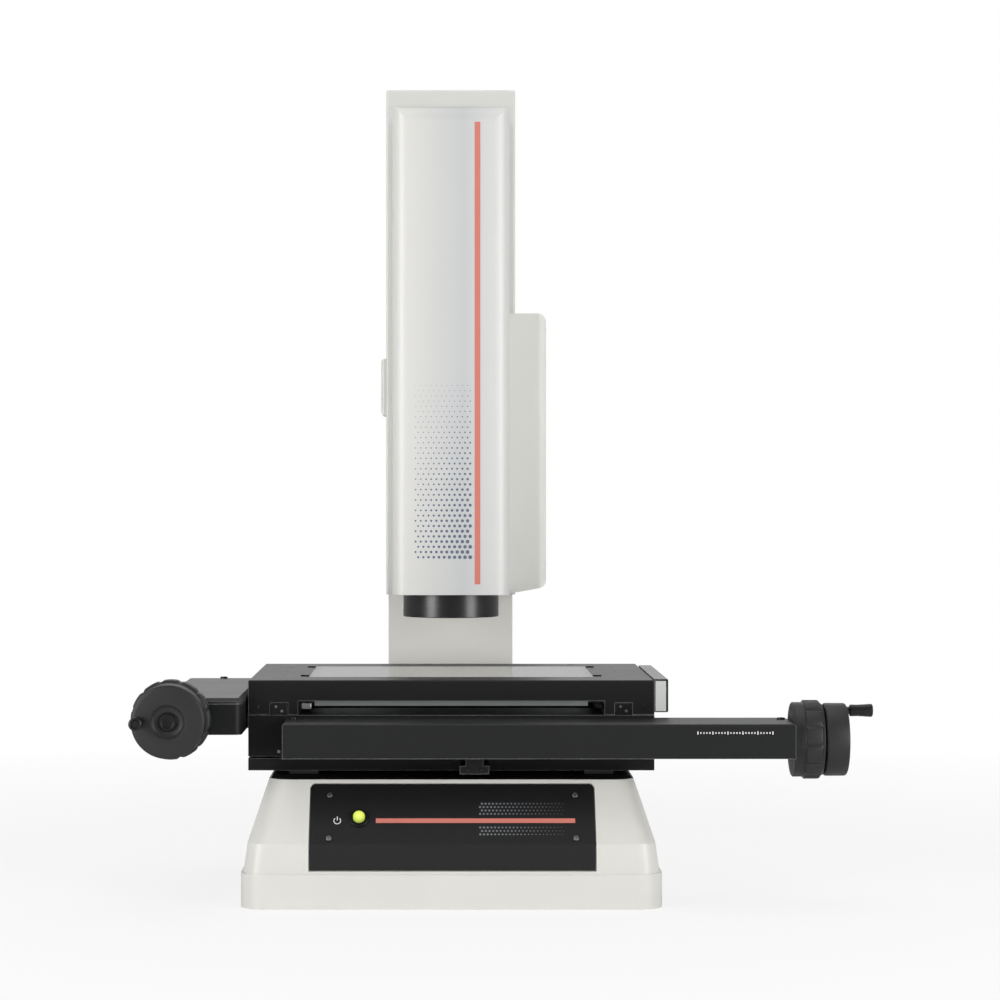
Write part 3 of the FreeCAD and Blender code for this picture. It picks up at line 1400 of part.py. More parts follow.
def make_column():
    """The column casting with its spine, and the covers round it."""
    half = d.column_width / 2
    wall = d.column_wall
    spine = spine_half_width
    slack = d.seat_clearance
    casting = fuse(
        "column_solid",
        block("pedestal", mirrored(half), (column_front, column_back),
              (base_top, overhang_bottom)),
        block("spine_foot", mirrored(spine), (column_front, spine_back),
              (overhang_bottom - OVERRUN, overhang_inside + OVERRUN)),
        block("spine", mirrored(spine), (spine_front, spine_back),
              (overhang_inside + slack, column_top - d.spine_top_gap)))
    node("column_casting", casting)

    housing = new_body("housing")
    pad(housing, "XY_Plane", overhang_bottom, column_top, draw_corners, (
        (-half, overhang_front), (half, overhang_front),
        (half, column_back), (-half, column_back)))
    soften(housing, "Fillet", d.column_edge_radius,
           lambda edge: near(edge.CenterOfMass.z, column_top)
           or (runs_along(edge, ALONG_Z) and near(edge.CenterOfMass.y, overhang_front)))
    pocket(housing, "XZ_Plane", overhang_front + wall, column_back, draw_corners, (
        (-half + wall, overhang_inside), (half - wall, overhang_inside),
        (half - wall, column_top - wall), (-half + wall, column_top - wall)))
    slot_z = (z_carriage_bottom - d.z_slot_margin,
              z_carriage_top + d.z_travel + d.z_slot_margin)
    housing = cut(
        "housing_opened", housing,
        block("spine_way", mirrored(spine + slack),
              (column_front - slack, spine_back + slack),
              (overhang_bottom - OVERRUN, overhang_inside + OVERRUN)),
        block("z_slot", mirrored(z_slot_half_width),
              (overhang_front - OVERRUN, overhang_front + wall + OVERRUN), slot_z))
    node("column_housing", housing)
    node("rear_cover", block(
        "back_plate", mirrored(half),
        (column_back, column_back + d.rear_cover_thickness),
        (base_top + wall, column_top - wall)))

    side = new_body("side")
    bottom = overhang_bottom + d.side_cover_lift
    outer = half + d.side_cover_width
    inner_edge = head_half_width + d.side_cover_head_gap
    side_front = overhang_front - d.side_cover_lap
    side_y = (side_front, side_front + d.side_cover_length)
    pad(side, "XZ_Plane", *side_y, draw_corners, (
        (inner_edge, bottom), (outer, bottom + d.side_cover_slant),
        (outer, side_cover_top), (inner_edge, side_cover_top)))
    soften(side, "Fillet", d.side_cover_edge_radius,
           lambda edge: near(edge.CenterOfMass.x, outer))
    inner = d.side_cover_wall
    pocket(side, "YZ_Plane", half, outer - inner, draw_corners, (
        (side_y[0] + inner, bottom + d.side_cover_slant + inner),
        (side_y[1] - inner, bottom + d.side_cover_slant + inner),
        (side_y[1] - inner, side_cover_top - inner),
        (side_y[0] + inner, side_cover_top - inner)))
    node("side_cover", cut("side_fitted", side, block(
        "side_lap", (inner_edge - OVERRUN, half), (overhang_front, column_back),
        (bottom - OVERRUN, side_cover_top + OVERRUN))))

    port = new_body("port")
    port_front = overhang_front + d.port_cover_setback
    pad(port, "YZ_Plane", -half - d.port_cover_thickness, -half, draw_corners, (
        (port_front, port_cover_bottom), (port_front + d.port_cover_length, port_cover_bottom),
        (port_front + d.port_cover_length, port_cover_bottom + d.port_cover_height),
        (port_front, port_cover_bottom + d.port_cover_height)))
    soften(port, "Fillet", d.port_cover_edge_radius,
           lambda edge: near(edge.CenterOfMass.x, -half - d.port_cover_thickness))
    node("port_cover", port)


def make_z_slide():
    """The rails, screw, bearings and motor that lift the head."""
    rails = []
    for side in (-1, 1):
        middle = side * z_rail_place
        rails.append(block("z_rail", (middle - d.z_rail_width / 2, middle + d.z_rail_width / 2),
                           (spine_front - d.z_rail_height, spine_front),
                           (lower_bearing, upper_bearing + d.z_bearing_height)))
    node("z_guide_rails", group("z_rails", rails))

    axis = z_screw_front
    bearings = []
    for low in (lower_bearing, upper_bearing):
        bearings.append(cut(
            "z_bearing",
            block("z_bearing_block", mirrored(z_bearing_half_width),
                  (axis - d.z_nut_radius, spine_front), (low, low + d.z_bearing_height)),
            rod("z_bearing_bore", d.z_screw_radius + d.bearing_clearance, "z",
                (0, axis, low - OVERRUN), d.z_bearing_height + 2 * OVERRUN)))
    node("z_bearings", group("z_bearing_group", bearings))
    entry = lower_bearing - d.z_shaft_entry
    node("z_screw", rod("z_lift_screw", d.z_screw_radius, "z", (0, axis, entry),
                        upper_bearing + d.z_bearing_height - entry))
    side = d.z_motor_side / 2
    motor = cut(
        "motor",
        block("motor_body", mirrored(side), (axis - side, axis + side),
              (lower_bearing - d.z_motor_length, lower_bearing)),
        rod("motor_hole", d.z_screw_radius + d.guide_clearance, "z",
            (0, axis, entry - d.guide_clearance), d.z_motor_length))
    node("z_motor", motor)

    rail_front = spine_front - d.z_rail_height
    block_back = spine_front - d.z_block_lift
    block_front = block_back - d.z_block_height
    centre = z_carriage_centre
    saddles = []
    for side in (-1, 1):
        middle = side * z_rail_place
        slot = d.z_rail_width / 2 + d.guide_clearance
        for end in (-1, 1):
            level = centre + end * d.z_block_spacing / 2
            span_z = (level - d.z_block_length / 2, level + d.z_block_length / 2)
            saddles.append(cut(
                "z_saddle",
                block("z_saddle_blank",
                      (middle - d.z_block_width / 2, middle + d.z_block_width / 2),
                      (block_front, block_back), span_z),
                block("z_saddle_slot", (middle - slot, middle + slot),
                      (rail_front - d.guide_clearance, block_back + OVERRUN),
                      (span_z[0] - OVERRUN, span_z[1] + OVERRUN))))
    node("z_guide_blocks", group("z_saddles", saddles))
    nut = cut(
        "lift_nut",
        rod("lift_nut_barrel", d.z_nut_radius, "z", (0, axis, centre - d.z_nut_length / 2),
            d.z_nut_length),
        rod("lift_nut_bore", d.z_screw_radius + d.feed_screw_clearance, "z",
            (0, axis, centre - d.z_nut_length), d.z_nut_length * 2))
    node("z_nut", nut)
    return block_front


# Head

def make_head(carriage_back):
    """The carriage, cover and optics of the head, about the optical axis."""
    half = head_half_width
    inside = half - d.head_wall
    plate_y = (mount_plate_front, mount_plate_back)
    carriage_z = (z_carriage_bottom, z_carriage_top)
    clamp_half = d.tube_radius + d.clamp_wall
    clamps = []
    for low in (barrel_top + d.clamp_gap, tube_top - d.clamp_drop):
        clamps.append(block("clamp", mirrored(clamp_half), (-clamp_half, plate_y[0]),
                            (low, low + d.clamp_height)))
    carriage = cut(
        "head_slide",
        fuse("head_slide_solid",
             block("head_slide_block", mirrored(z_carriage_half_width),
                   (plate_y[1], carriage_back), carriage_z),
             block("mount_plate", mirrored(inside), plate_y,
                   (head_bottom + d.mount_plate_lift, camera_top + d.mount_plate_top_room)),
             *clamps),
        rod("clamp_bore", d.tube_radius, "z", (0, 0, barrel_top), d.tube_length),
        rod("screw_way", d.z_screw_radius + d.z_screw_room, "z",
            (0, z_screw_front, carriage_z[0] - OVERRUN), d.z_carriage_height + 2 * OVERRUN),
        rod("nut_seat", d.z_nut_radius, "z",
            (0, z_screw_front, z_carriage_centre - d.z_nut_length / 2), d.z_nut_length))
    node("head_carriage", carriage)

    cover = new_body("cover")
    pad(cover, "XY_Plane", head_bottom, head_top, draw_corners, (
        (-half, -head_front), (half, -head_front), (half, head_back), (-half, head_back)))
    soften(cover, "Fillet", d.head_edge_radius,
           lambda edge: near(edge.CenterOfMass.y, -head_front)
           and not near(edge.CenterOfMass.z, head_bottom))
    pocket(cover, "XZ_Plane", d.head_wall - head_front, head_back, draw_corners, (
        (-inside, head_bottom + d.head_wall), (inside, head_bottom + d.head_wall),
        (inside, head_top - d.head_roof), (-inside, head_top - d.head_roof)))
    cover = cut("cover_opened", cover,
                rod("barrel_way", d.barrel_radius + d.seat_clearance, "z",
                    (0, 0, head_bottom - OVERRUN), d.head_wall + 2 * OVERRUN))
    node("head_cover", cover)

    bevel = d.barrel_chamfer
    lip = barrel_bore - d.barrel_lip
    shelf = barrel_top - d.head_wall
    barrel = new_body("barrel")
    lens_bottom = barrel_bottom + d.lens_setback
    turn(barrel, (
        (lip, barrel_bottom), (d.barrel_radius - bevel, barrel_bottom),
        (d.barrel_radius, barrel_bottom + bevel), (d.barrel_radius, barrel_top),
        (tube_bore, barrel_top), (tube_bore, shelf), (barrel_bore, shelf),
        (barrel_bore, lens_bottom), (lip, lens_bottom)))
    node("objective_barrel", barrel)
    edge = d.lens_thickness / 4
    lens = new_body("lens")
    turn(lens, (
        (0, lens_bottom), (lens_radius, lens_bottom),
        (lens_radius, lens_bottom + d.lens_thickness - edge),
        (lens_radius - edge * 2, lens_bottom + d.lens_thickness),
        (0, lens_bottom + d.lens_thickness)))
    node("front_lens", lens)
    tube = new_body("tube")
    turn(tube, (
        (tube_bore, barrel_top), (d.tube_radius, barrel_top),
        (d.tube_radius, tube_top), (tube_bore, tube_top)))
    node("zoom_tube", tube)
    side = d.camera_side / 2
    node("camera", block("camera_box", mirrored(side), mirrored(side),
                         (tube_top, camera_top)))


# The whole machine

def make_machine():
    """Makes every sub-part in its place."""
    make_base()
    make_inlet()
    make_panel()
    make_stage_base()
    make_x_carriage()
    make_table()
    make_x_drive()
    make_y_drive()
    make_drive_screws()
    make_column()
    make_head(make_z_slide())


def check_and_write():
    """Stops at any failed feature or faulty sub-part, then writes each sub-part's file."""
    document.recompute()
    for made in document.Objects:
        failed = {"Invalid", "Error"} & set(made.State)
        if failed:
            raise ValueError(f"{made.Name} failed: {made.getStatusString()}")
    for made in nodes:
        if made.Shape.isNull() or not made.Shape.isValid() or not made.Shape.Solids:
            raise ValueError(f"{made.Label} has no valid solid")
    os.makedirs("parts", exist_ok=True)
    for made in nodes:
        made.Shape.exportStep(f"parts/{made.Label}.step")
        box = made.Shape.BoundBox
        print(f"{made.Label}: {len(made.Shape.Solids)} solids, "
              f"x {box.XMin:.1f} to {box.XMax:.1f}, y {box.YMin:.1f} to {box.YMax:.1f}, "
              f"z {box.ZMin:.1f} to {box.ZMax:.1f}")


make_machine()
check_and_write()
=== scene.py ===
"""The looks of the optical measuring machine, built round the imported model."""

import json
import logging
import math
from dataclasses import dataclass, field
from enum import Enum
from typing import Callable, Iterable, NamedTuple, Sequence

import bmesh
import bpy
from mathutils import Matrix, Vector

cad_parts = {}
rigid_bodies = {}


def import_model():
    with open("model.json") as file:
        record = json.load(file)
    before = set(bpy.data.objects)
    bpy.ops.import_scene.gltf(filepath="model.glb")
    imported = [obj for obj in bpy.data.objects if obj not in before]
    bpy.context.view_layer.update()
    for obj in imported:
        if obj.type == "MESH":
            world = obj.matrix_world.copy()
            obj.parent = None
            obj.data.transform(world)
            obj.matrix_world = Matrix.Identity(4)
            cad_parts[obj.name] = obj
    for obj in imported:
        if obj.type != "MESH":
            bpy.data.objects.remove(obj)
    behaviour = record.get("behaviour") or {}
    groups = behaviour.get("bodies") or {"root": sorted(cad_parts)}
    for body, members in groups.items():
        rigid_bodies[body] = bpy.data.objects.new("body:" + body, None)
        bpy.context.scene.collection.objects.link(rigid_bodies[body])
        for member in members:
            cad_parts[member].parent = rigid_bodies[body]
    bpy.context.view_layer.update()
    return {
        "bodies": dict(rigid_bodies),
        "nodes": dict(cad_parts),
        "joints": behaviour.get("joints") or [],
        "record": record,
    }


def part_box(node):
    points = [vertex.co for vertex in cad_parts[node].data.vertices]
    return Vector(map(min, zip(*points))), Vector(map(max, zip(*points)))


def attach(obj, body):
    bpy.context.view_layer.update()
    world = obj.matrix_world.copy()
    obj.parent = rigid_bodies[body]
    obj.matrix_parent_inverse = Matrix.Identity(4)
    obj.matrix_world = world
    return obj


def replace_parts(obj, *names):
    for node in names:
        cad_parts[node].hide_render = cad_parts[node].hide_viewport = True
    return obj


log = logging.getLogger("measuring_machine")

MM = 0.001
WHITE = (1.0, 1.0, 1.0, 1.0)
Point = tuple[float, float, float]
Materials = dict[str, bpy.types.Material]


class Axis(Enum):
    """A direction of the row frame."""

    X = (1.0, 0.0, 0.0)
    Y = (0.0, 1.0, 0.0)
    Z = (0.0, 0.0, 1.0)
    FRONT = (0.0, -1.0, 0.0)

    @property
    def vector(self) -> Vector:
        """The direction as a vector."""
        return Vector(self.value)


class Drive(Enum):
    """A hand drive of the stage."""

    X = "x"
    Y = "y"


@dataclass(frozen=True)
class Tint:
    """A colour as it shows on a screen, each part from 0 to 255."""

    red: float
    green: float
    blue: float

    def linear(self, scale: float = 1.0) -> tuple[float, float, float, float]:
        """The colour for a shader.

        Args:
            scale: how much lighter or darker it is than written.

        Returns:
            Red, green, blue and full alpha, in linear light.
        """
        parts = []
        for part in (self.red, self.green, self.blue):
            share = part / 255
            bright = share / 12.92 if share <= 0.04045 else ((share + 0.055) / 1.055) ** 2.4
            parts.append(min(bright * scale, 1.0))
        return (parts[0], parts[1], parts[2], 1.0)


def arithmetic(operation: str, swapped: bool = False) -> Callable:
    """Makes the method behind one of Python's signs.

    Args:
        operation: the Math node's operation.
        swapped: whether the shade stands to the right of the sign.

    Returns:
        The method.
    """
    def method(shade: "Shade", other: object) -> "Shade":
        """A Math node on the shade and another shade or a number."""
        first, second = (other, shade) if swapped else (shade, other)
        return shade.graph.node("ShaderNodeMath", {"operation": operation}, {0: first, 1: second})

    return method


class Shade:
    """An output socket that takes part in Python arithmetic."""

    def __init__(self, graph: "Tree", socket: bpy.types.NodeSocket) -> None:
        """Wraps a socket of a node tree."""
        self.graph = graph
        self.socket = socket

    __add__ = arithmetic("ADD")
    __radd__ = arithmetic("ADD", swapped=True)
    __sub__ = arithmetic("SUBTRACT")
    __rsub__ = arithmetic("SUBTRACT", swapped=True)
    __mul__ = arithmetic("MULTIPLY")
    __rmul__ = arithmetic("MULTIPLY", swapped=True)
    __truediv__ = arithmetic("DIVIDE")
    __pow__ = arithmetic("POWER")

    def clamped(self) -> "Shade":
        """The value held between 0 and 1."""
        return self.graph.node("ShaderNodeClamp", {}, {"Value": self})


class Tree:
    """A node tree and what can be added to it."""

    def __init__(self, tree: bpy.types.NodeTree) -> None:
        """Takes over a tree."""
        self.tree = tree

    def node(self, kind: str, settings: dict, inputs: dict, output: object = 0) -> Shade:
        """Adds any node.

        Args:
            kind: the node's type.
            settings: properties that are set first.
            inputs: socket names or numbers with values or shades.
            output: the output socket that is wanted.

        Returns:
            That output.
        """
        made = self.tree.nodes.new(kind)
        for name, value in settings.items():
            setattr(made, name, value)
        for name, value in inputs.items():
            if isinstance(value, Shade):
                self.tree.links.new(value.socket, made.inputs[name])
            else:
                made.inputs[name].default_value = value
        return Shade(self, made.outputs[output])

    def link(self, shade: Shade, socket: bpy.types.NodeSocket) -> None:
        """Feeds a socket of the tree."""
        self.tree.links.new(shade.socket, socket)

    def coordinates(self, kind: str = "Object") -> Shade:
        """Texture coordinates of one kind."""
        return self.node("ShaderNodeTexCoord", {}, {}, kind)

    def ray(self, kind: str) -> Shade:
        """Whether the ray is of one kind."""
        return self.node("ShaderNodeLightPath", {}, {}, kind)

    def measure(self, operation: str, *vectors: object) -> Shade:
        """The number that a Vector Math node takes from one or two vectors."""
        return self.node("ShaderNodeVectorMath", {"operation": operation},
                         dict(enumerate(vectors)), "Value")


class Recipe(Tree):
    """One material and the nodes that make it."""

    def __init__(self, name: str) -> None:
        """Starts a material that holds only its output and principled shader."""
        self.material = bpy.data.materials.new(name)
        self.material.use_nodes = True
        super().__init__(self.material.node_tree)
        self.shader = self.tree.nodes["Principled BSDF"]

    def noise(self, size: float, detail: float = 2.0, stretch: Point = (1, 1, 1)) -> Shade:
        """Noise from 0 to 1 whose grain has a size in metres.

        Args:
            size: the width of a grain.
            detail: how many finer layers it has.
            stretch: how much denser it is in each direction.

        Returns:
            The noise.
        """
        place = self.node("ShaderNodeMapping", {},
                          {"Vector": self.coordinates(), "Scale": stretch})
        return self.node("ShaderNodeTexNoise", {},
                         {"Vector": place, "Scale": 1 / size, "Detail": detail})

    def blend(self, factor: object, first: object, second: object) -> Shade:
        """A colour between two, by a factor from 0 to 1."""
        return self.node("ShaderNodeMix", {"data_type": "RGBA"},
                         {0: factor, 6: first, 7: second}, 2)

    def edges(self, radius: float, gain: float) -> Shade:
        """A mask that is high along sharp edges.

        Args:
            radius: how far from the edge it reaches.
            gain: how quickly it rises.

        Returns:
            The mask, from 0 to 1.
        """
        rounded = self.node("ShaderNodeBevel", {"samples": 4}, {"Radius": radius})
        plain = self.node("ShaderNodeNewGeometry", {}, {}, "Normal")
        return ((1 - self.measure("DOT_PRODUCT", rounded, plain)) * gain).clamped()

    def bump(self, height: Shade, depth: float) -> None:
        """Raises the surface by a height from 0 to 1 times a depth in metres."""
        normal = self.node("ShaderNodeBump", {}, {"Height": height, "Distance": depth,
                                                  "Strength": 1.0})
        self.link(normal, self.shader.inputs["Normal"])

    def feed(self, **inputs: object) -> None:
        """Sets the shader's sockets, an underscore standing for a space."""
        for name, value in inputs.items():
            socket = self.shader.inputs[name.replace("_", " ")]
            if isinstance(value, Shade):
                self.link(value, socket)
            else:
                socket.default_value = value


@dataclass(frozen=True)
class Finish:
    """A finish of the machine. Sizes of grain and relief are in metres."""

    name: str
    tint: Tint

    def make(self) -> bpy.types.Material:
        """Builds the material."""
        recipe = Recipe(self.name)
        self.mix(recipe)
        return recipe.material

    def mix(self, recipe: Recipe) -> None:
        """Adds the nodes of this kind of finish."""
        raise NotImplementedError


@dataclass(frozen=True)
class Enamel(Finish):
    """Stove enamel on metal: a faint peel, a slight mottle and paler edges, partly wear and
    partly a painted highlight.
    """

    roughness: float = 0.36
    coat: float = 0.25
    peel: float = 0.00002
    mottle: float = 0.03

    def mix(self, recipe: Recipe) -> None:
        """Adds the nodes."""
        cloud = recipe.noise(0.06, detail=3.0)
        # Paler edges: partly wear, partly a painted highlight.
        edge_wear_and_highlight = recipe.edges(radius=0.0014, gain=2.4)
        plain = recipe.blend(cloud, self.tint.linear(1 - self.mottle),
                             self.tint.linear(1 + self.mottle))
        recipe.feed(
            Base_Color=recipe.blend(edge_wear_and_highlight * 0.6, plain, self.tint.linear(1.2)),
            Roughness=self.roughness + recipe.noise(0.004) * 0.08 - edge_wear_and_highlight * 0.05,
            Coat_Weight=self.coat,
            Coat_Roughness=0.16,
        )
        recipe.bump(recipe.noise(0.0016, detail=1.0), self.peel)


@dataclass(frozen=True)
class Film(Finish):
    """Silver-grey film with a fine sparkle, lighter towards both sides as a painted highlight."""

    # The colours towards the left and right edges: painted highlights.
    left: Tint
    right: Tint
    half_width: float = 0.052

    def mix(self, recipe: Recipe) -> None:
        """Adds the nodes."""
        place = recipe.coordinates()
        across = recipe.node("ShaderNodeSeparateXYZ", {}, {0: place}, "X") / self.half_width
        sparkle = recipe.noise(0.0007)
        # Lighter towards both sides: a painted highlight.
        painted_sheen_from_left = recipe.blend((across * 0.85 + 0.85).clamped(), self.left.linear(),
                                 self.tint.linear())
        painted_sheen_tone = recipe.blend((across * 1.6 - 0.35).clamped(), painted_sheen_from_left, self.right.linear())
        recipe.feed(
            Base_Color=recipe.blend(sparkle * 0.12, painted_sheen_tone, self.tint.linear(0.7)),
            Metallic=sparkle * 0.2,
            Roughness=0.46 + sparkle * 0.1,
            Specular_IOR_Level=0.35,
        )
        recipe.bump(sparkle, 0.000008)


@dataclass(frozen=True)
class Anodised(Finish):
    """Black anodised aluminium: blasted grain, faint blotches and bright edges, partly bare metal
    showing through wear and partly a painted highlight.
    """

    roughness: float
    # The colour of the bright edges: bare metal and a painted highlight.
    bare_and_highlit_edge: Tint = Tint(196, 197, 198)
    grain: float = 0.000012

    def mix(self, recipe: Recipe) -> None:
        """Adds the nodes."""
        cloud = recipe.noise(0.045, detail=4.0)
        speck = recipe.noise(0.0009)
        # Bright edges: partly wear, partly a painted highlight.
        edge_wear_and_highlight = recipe.edges(radius=0.001, gain=3.2) * (0.4 + recipe.noise(0.01) * 0.6)
        plain = recipe.blend(cloud, self.tint.linear(0.85), self.tint.linear(1.2))
        grained = recipe.blend(speck * 0.25, plain, self.tint.linear(1.5))
        recipe.feed(
            Base_Color=recipe.blend(edge_wear_and_highlight * 0.75, grained, self.bare_and_highlit_edge.linear()),
            Metallic=edge_wear_and_highlight * 0.25,
            Roughness=self.roughness + speck * 0.12 - cloud * 0.05,
            Specular_IOR_Level=0.3,
        )
        recipe.bump(speck, self.grain)


@dataclass(frozen=True)
class Moulded(Finish):
    """Moulded plastic with a spark-eroded texture."""

    roughness: float
    texture: float = 0.00004
    grain: float = 0.0009

    def mix(self, recipe: Recipe) -> None:
        """Adds the nodes."""
        pits = recipe.noise(self.grain, detail=3.0)
        cloud = recipe.noise(0.03)
        # Paler edges: partly wear, partly a painted highlight.
        edge_wear_and_highlight = recipe.edges(radius=0.0006, gain=1.4)
        plain = recipe.blend(cloud, self.tint.linear(0.9), self.tint.linear(1.1))
        recipe.feed(
            Base_Color=recipe.blend(edge_wear_and_highlight * 0.3, plain, self.tint.linear(1.7)),
            Roughness=self.roughness + pits * 0.12 - edge_wear_and_highlight * 0.1,
            Specular_IOR_Level=0.36,
        )
        recipe.bump(pits, self.texture)


@dataclass(frozen=True)
class Gloss(Finish):
    """A smooth hard finish, such as black lacquer, with the faintest ripple and dust."""

    roughness: float
    coat: float
    shine: float

    def mix(self, recipe: Recipe) -> None:
        """Adds the nodes."""
        dust = recipe.noise(0.0012, detail=3.0) ** 4
        recipe.feed(
            Base_Color=recipe.blend(dust * 0.5, self.tint.linear(), self.tint.linear(1.6)),
            Roughness=self.roughness + dust * 0.25 + recipe.noise(0.02) * 0.05,
            Coat_Weight=self.coat,
            Coat_Roughness=0.2,
            Specular_IOR_Level=self.shine,
        )
        recipe.bump(recipe.noise(0.006, detail=1.0), 0.000015)


@dataclass(frozen=True)
class Machined(Finish):
    """Bare metal with tool lines that run along one direction."""

    along: Axis = Axis.X
    roughness: float = 0.28
    lines: float = 0.0005

    def mix(self, recipe: Recipe) -> None:
        """Adds the nodes."""
        stretch = tuple(1.0 - 0.97 * abs(part) for part in self.along.vector)
        streaks = recipe.noise(self.lines, detail=3.0, stretch=stretch)
        stain = recipe.noise(0.02)
        plain = recipe.blend(streaks, self.tint.linear(0.82), self.tint.linear(1.12))
        recipe.feed(
            Base_Color=recipe.blend(stain * 0.3, plain, self.tint.linear(0.7)),
            Metallic=1.0,
            Roughness=self.roughness + streaks * 0.16,
        )
        recipe.bump(streaks, 0.00001)


@dataclass(frozen=True)
class Clear(Finish):
    """Polished glass with a faint tint, a little dust and a coating colour."""

    coating: float = 0.0
    pass_through: float = 0.9

    def mix(self, recipe: Recipe) -> None:
        """Adds the nodes."""
        dust = recipe.noise(0.003, detail=4.0) ** 3
        recipe.feed(
            Base_Color=recipe.blend(dust * 0.4, self.tint.linear(), self.tint.linear(0.85)),
            Roughness=0.02 + dust * 0.12,
            Transmission_Weight=self.pass_through,
            IOR=1.52,
            Coat_Weight=self.coating,
        )
        recipe.bump(recipe.noise(0.05, detail=1.0), 0.000004)


@dataclass(frozen=True)
class Lit(Finish):
    """A translucent cap with a lamp behind it, brightest at its middle."""

    centre: Point
    radius: float
    strength: float

    def mix(self, recipe: Recipe) -> None:
        """Adds the nodes."""
        away = recipe.measure("DISTANCE", recipe.coordinates(), self.centre)
        glow = (1 - away / self.radius).clamped()
        haze = recipe.noise(0.0015)
        deep = recipe.blend(glow, self.tint.linear(0.45), self.tint.linear(1.15))
        recipe.feed(
            Base_Color=recipe.blend(haze * 0.2, deep, self.tint.linear(0.9)),
            Emission_Color=deep,
            Emission_Strength=self.strength,
            Roughness=0.22 + haze * 0.06,
        )
        recipe.bump(haze, 0.00001)


@dataclass(frozen=True)
class Ink(Finish):
    """Screen-printed ink, a little uneven in its cover."""

    roughness: float = 0.45

    def mix(self, recipe: Recipe) -> None:
        """Adds the nodes."""
        cover = recipe.noise(0.0012, detail=3.0)
        recipe.feed(
            Base_Color=recipe.blend(cover, self.tint.linear(0.9), self.tint.linear(1.06)),
            Roughness=self.roughness + cover * 0.1,
        )
        recipe.bump(cover, 0.000006)


# The middle of the switch's cap.
LIT_CENTRE: Point = (-0.0775, -0.1875, 0.0775)

FINISHES: dict[str, Finish] = {
    "white": Enamel("white_enamel", Tint(214, 213, 207), coat=0.6),
    # A lighter copy of the white paint: painted light that offsets the shade on the column.
    "column": Enamel("column_enamel_painted_lighter", Tint(224, 222, 216), 0.42),
    "housing": Enamel("housing_enamel", Tint(211, 212, 207), 0.4),
    # A lighter copy of the white paint: painted light that offsets the shade on the side cover.
    "side": Enamel("side_enamel_painted_lighter", Tint(222, 223, 217), 0.5, coat=0.0),
    # The cover's left and right tints are painted highlights.
    "cover": Film("cover_film", Tint(196, 197, 198), left=Tint(222, 221, 216),
                  right=Tint(216, 216, 214)),
    "stage": Anodised("stage_anodising", Tint(16, 16, 17), roughness=0.4),
    "drive": Anodised("drive_anodising", Tint(20, 21, 22), roughness=0.46),
    "carriage": Anodised("carriage_anodising", Tint(12, 12, 12), roughness=0.58),
    "scale": Anodised("scale_anodising", Tint(52, 52, 52), roughness=0.14),
    "bar": Machined("bar_steel", Tint(170, 176, 173), Axis.X, 0.36),
    "lid": Anodised("lid_anodising", Tint(38, 38, 38), roughness=0.38),
    "panel": Gloss("panel_film", Tint(18, 18, 19), 0.36, coat=0.1, shine=0.4),
    "wheel": Moulded("wheel_plastic", Tint(38, 38, 39), 0.44),
    "knob": Moulded("knob_plastic", Tint(20, 20, 20), 0.3, texture=0.00001),
    "black": Moulded("black_plastic", Tint(8, 8, 8), 0.34, texture=0.00002),
    "barrel": Gloss("barrel_lacquer", Tint(6, 6, 6), 0.25, coat=0.0, shine=0.6),
    "steel": Machined("ground_steel", Tint(190, 190, 188), Axis.X),
    "rail": Machined("rail_steel", Tint(180, 181, 182), Axis.Y),
    "screw": Machined("screw_steel", Tint(150, 150, 150), Axis.Z, 0.3),
    "dark_screw": Machined("blackened_steel", Tint(66, 66, 68), Axis.Z, 0.2),
    "seat": Machined("seat_steel", Tint(104, 104, 104), Axis.X, 0.3),
    "aluminium": Machined("milled_aluminium", Tint(205, 206, 208), Axis.X, 0.32),
    "brass": Machined("turned_brass", Tint(196, 160, 92), Axis.Z, 0.25),
    "glass": Clear("plate_glass", Tint(214, 224, 220)),
    "lens": Clear("coated_lens", Tint(120, 130, 165), coating=0.6, pass_through=0.7),
    "lamp": Lit("switch_cap", Tint(200, 216, 92), LIT_CENTRE, radius=0.0072, strength=0.6),
    "orange": Ink("orange_ink", Tint(204, 120, 106)),
    "slate": Ink("slate_ink", Tint(92, 104, 124)),
    "grey": Ink("grey_ink", Tint(120, 124, 128)),
    "ivory": Ink("white_ink", Tint(232, 232, 230)),
    "label": Ink("label_film", Tint(204, 206, 204), 0.4),
}


def hexagon(angle: float) -> float:
    """The distance to a hexagon's outline at an angle, 1 at its nearest point."""
    return 1.0 / math.cos((angle % (math.pi / 3)) - math.pi / 6)


def in_metres(profile: Iterable[tuple]) -> list[tuple]:
    """A profile whose heights and radii are given in millimetres."""
    return [(height * MM, radius * MM, *shape) for height, radius, *shape in profile]


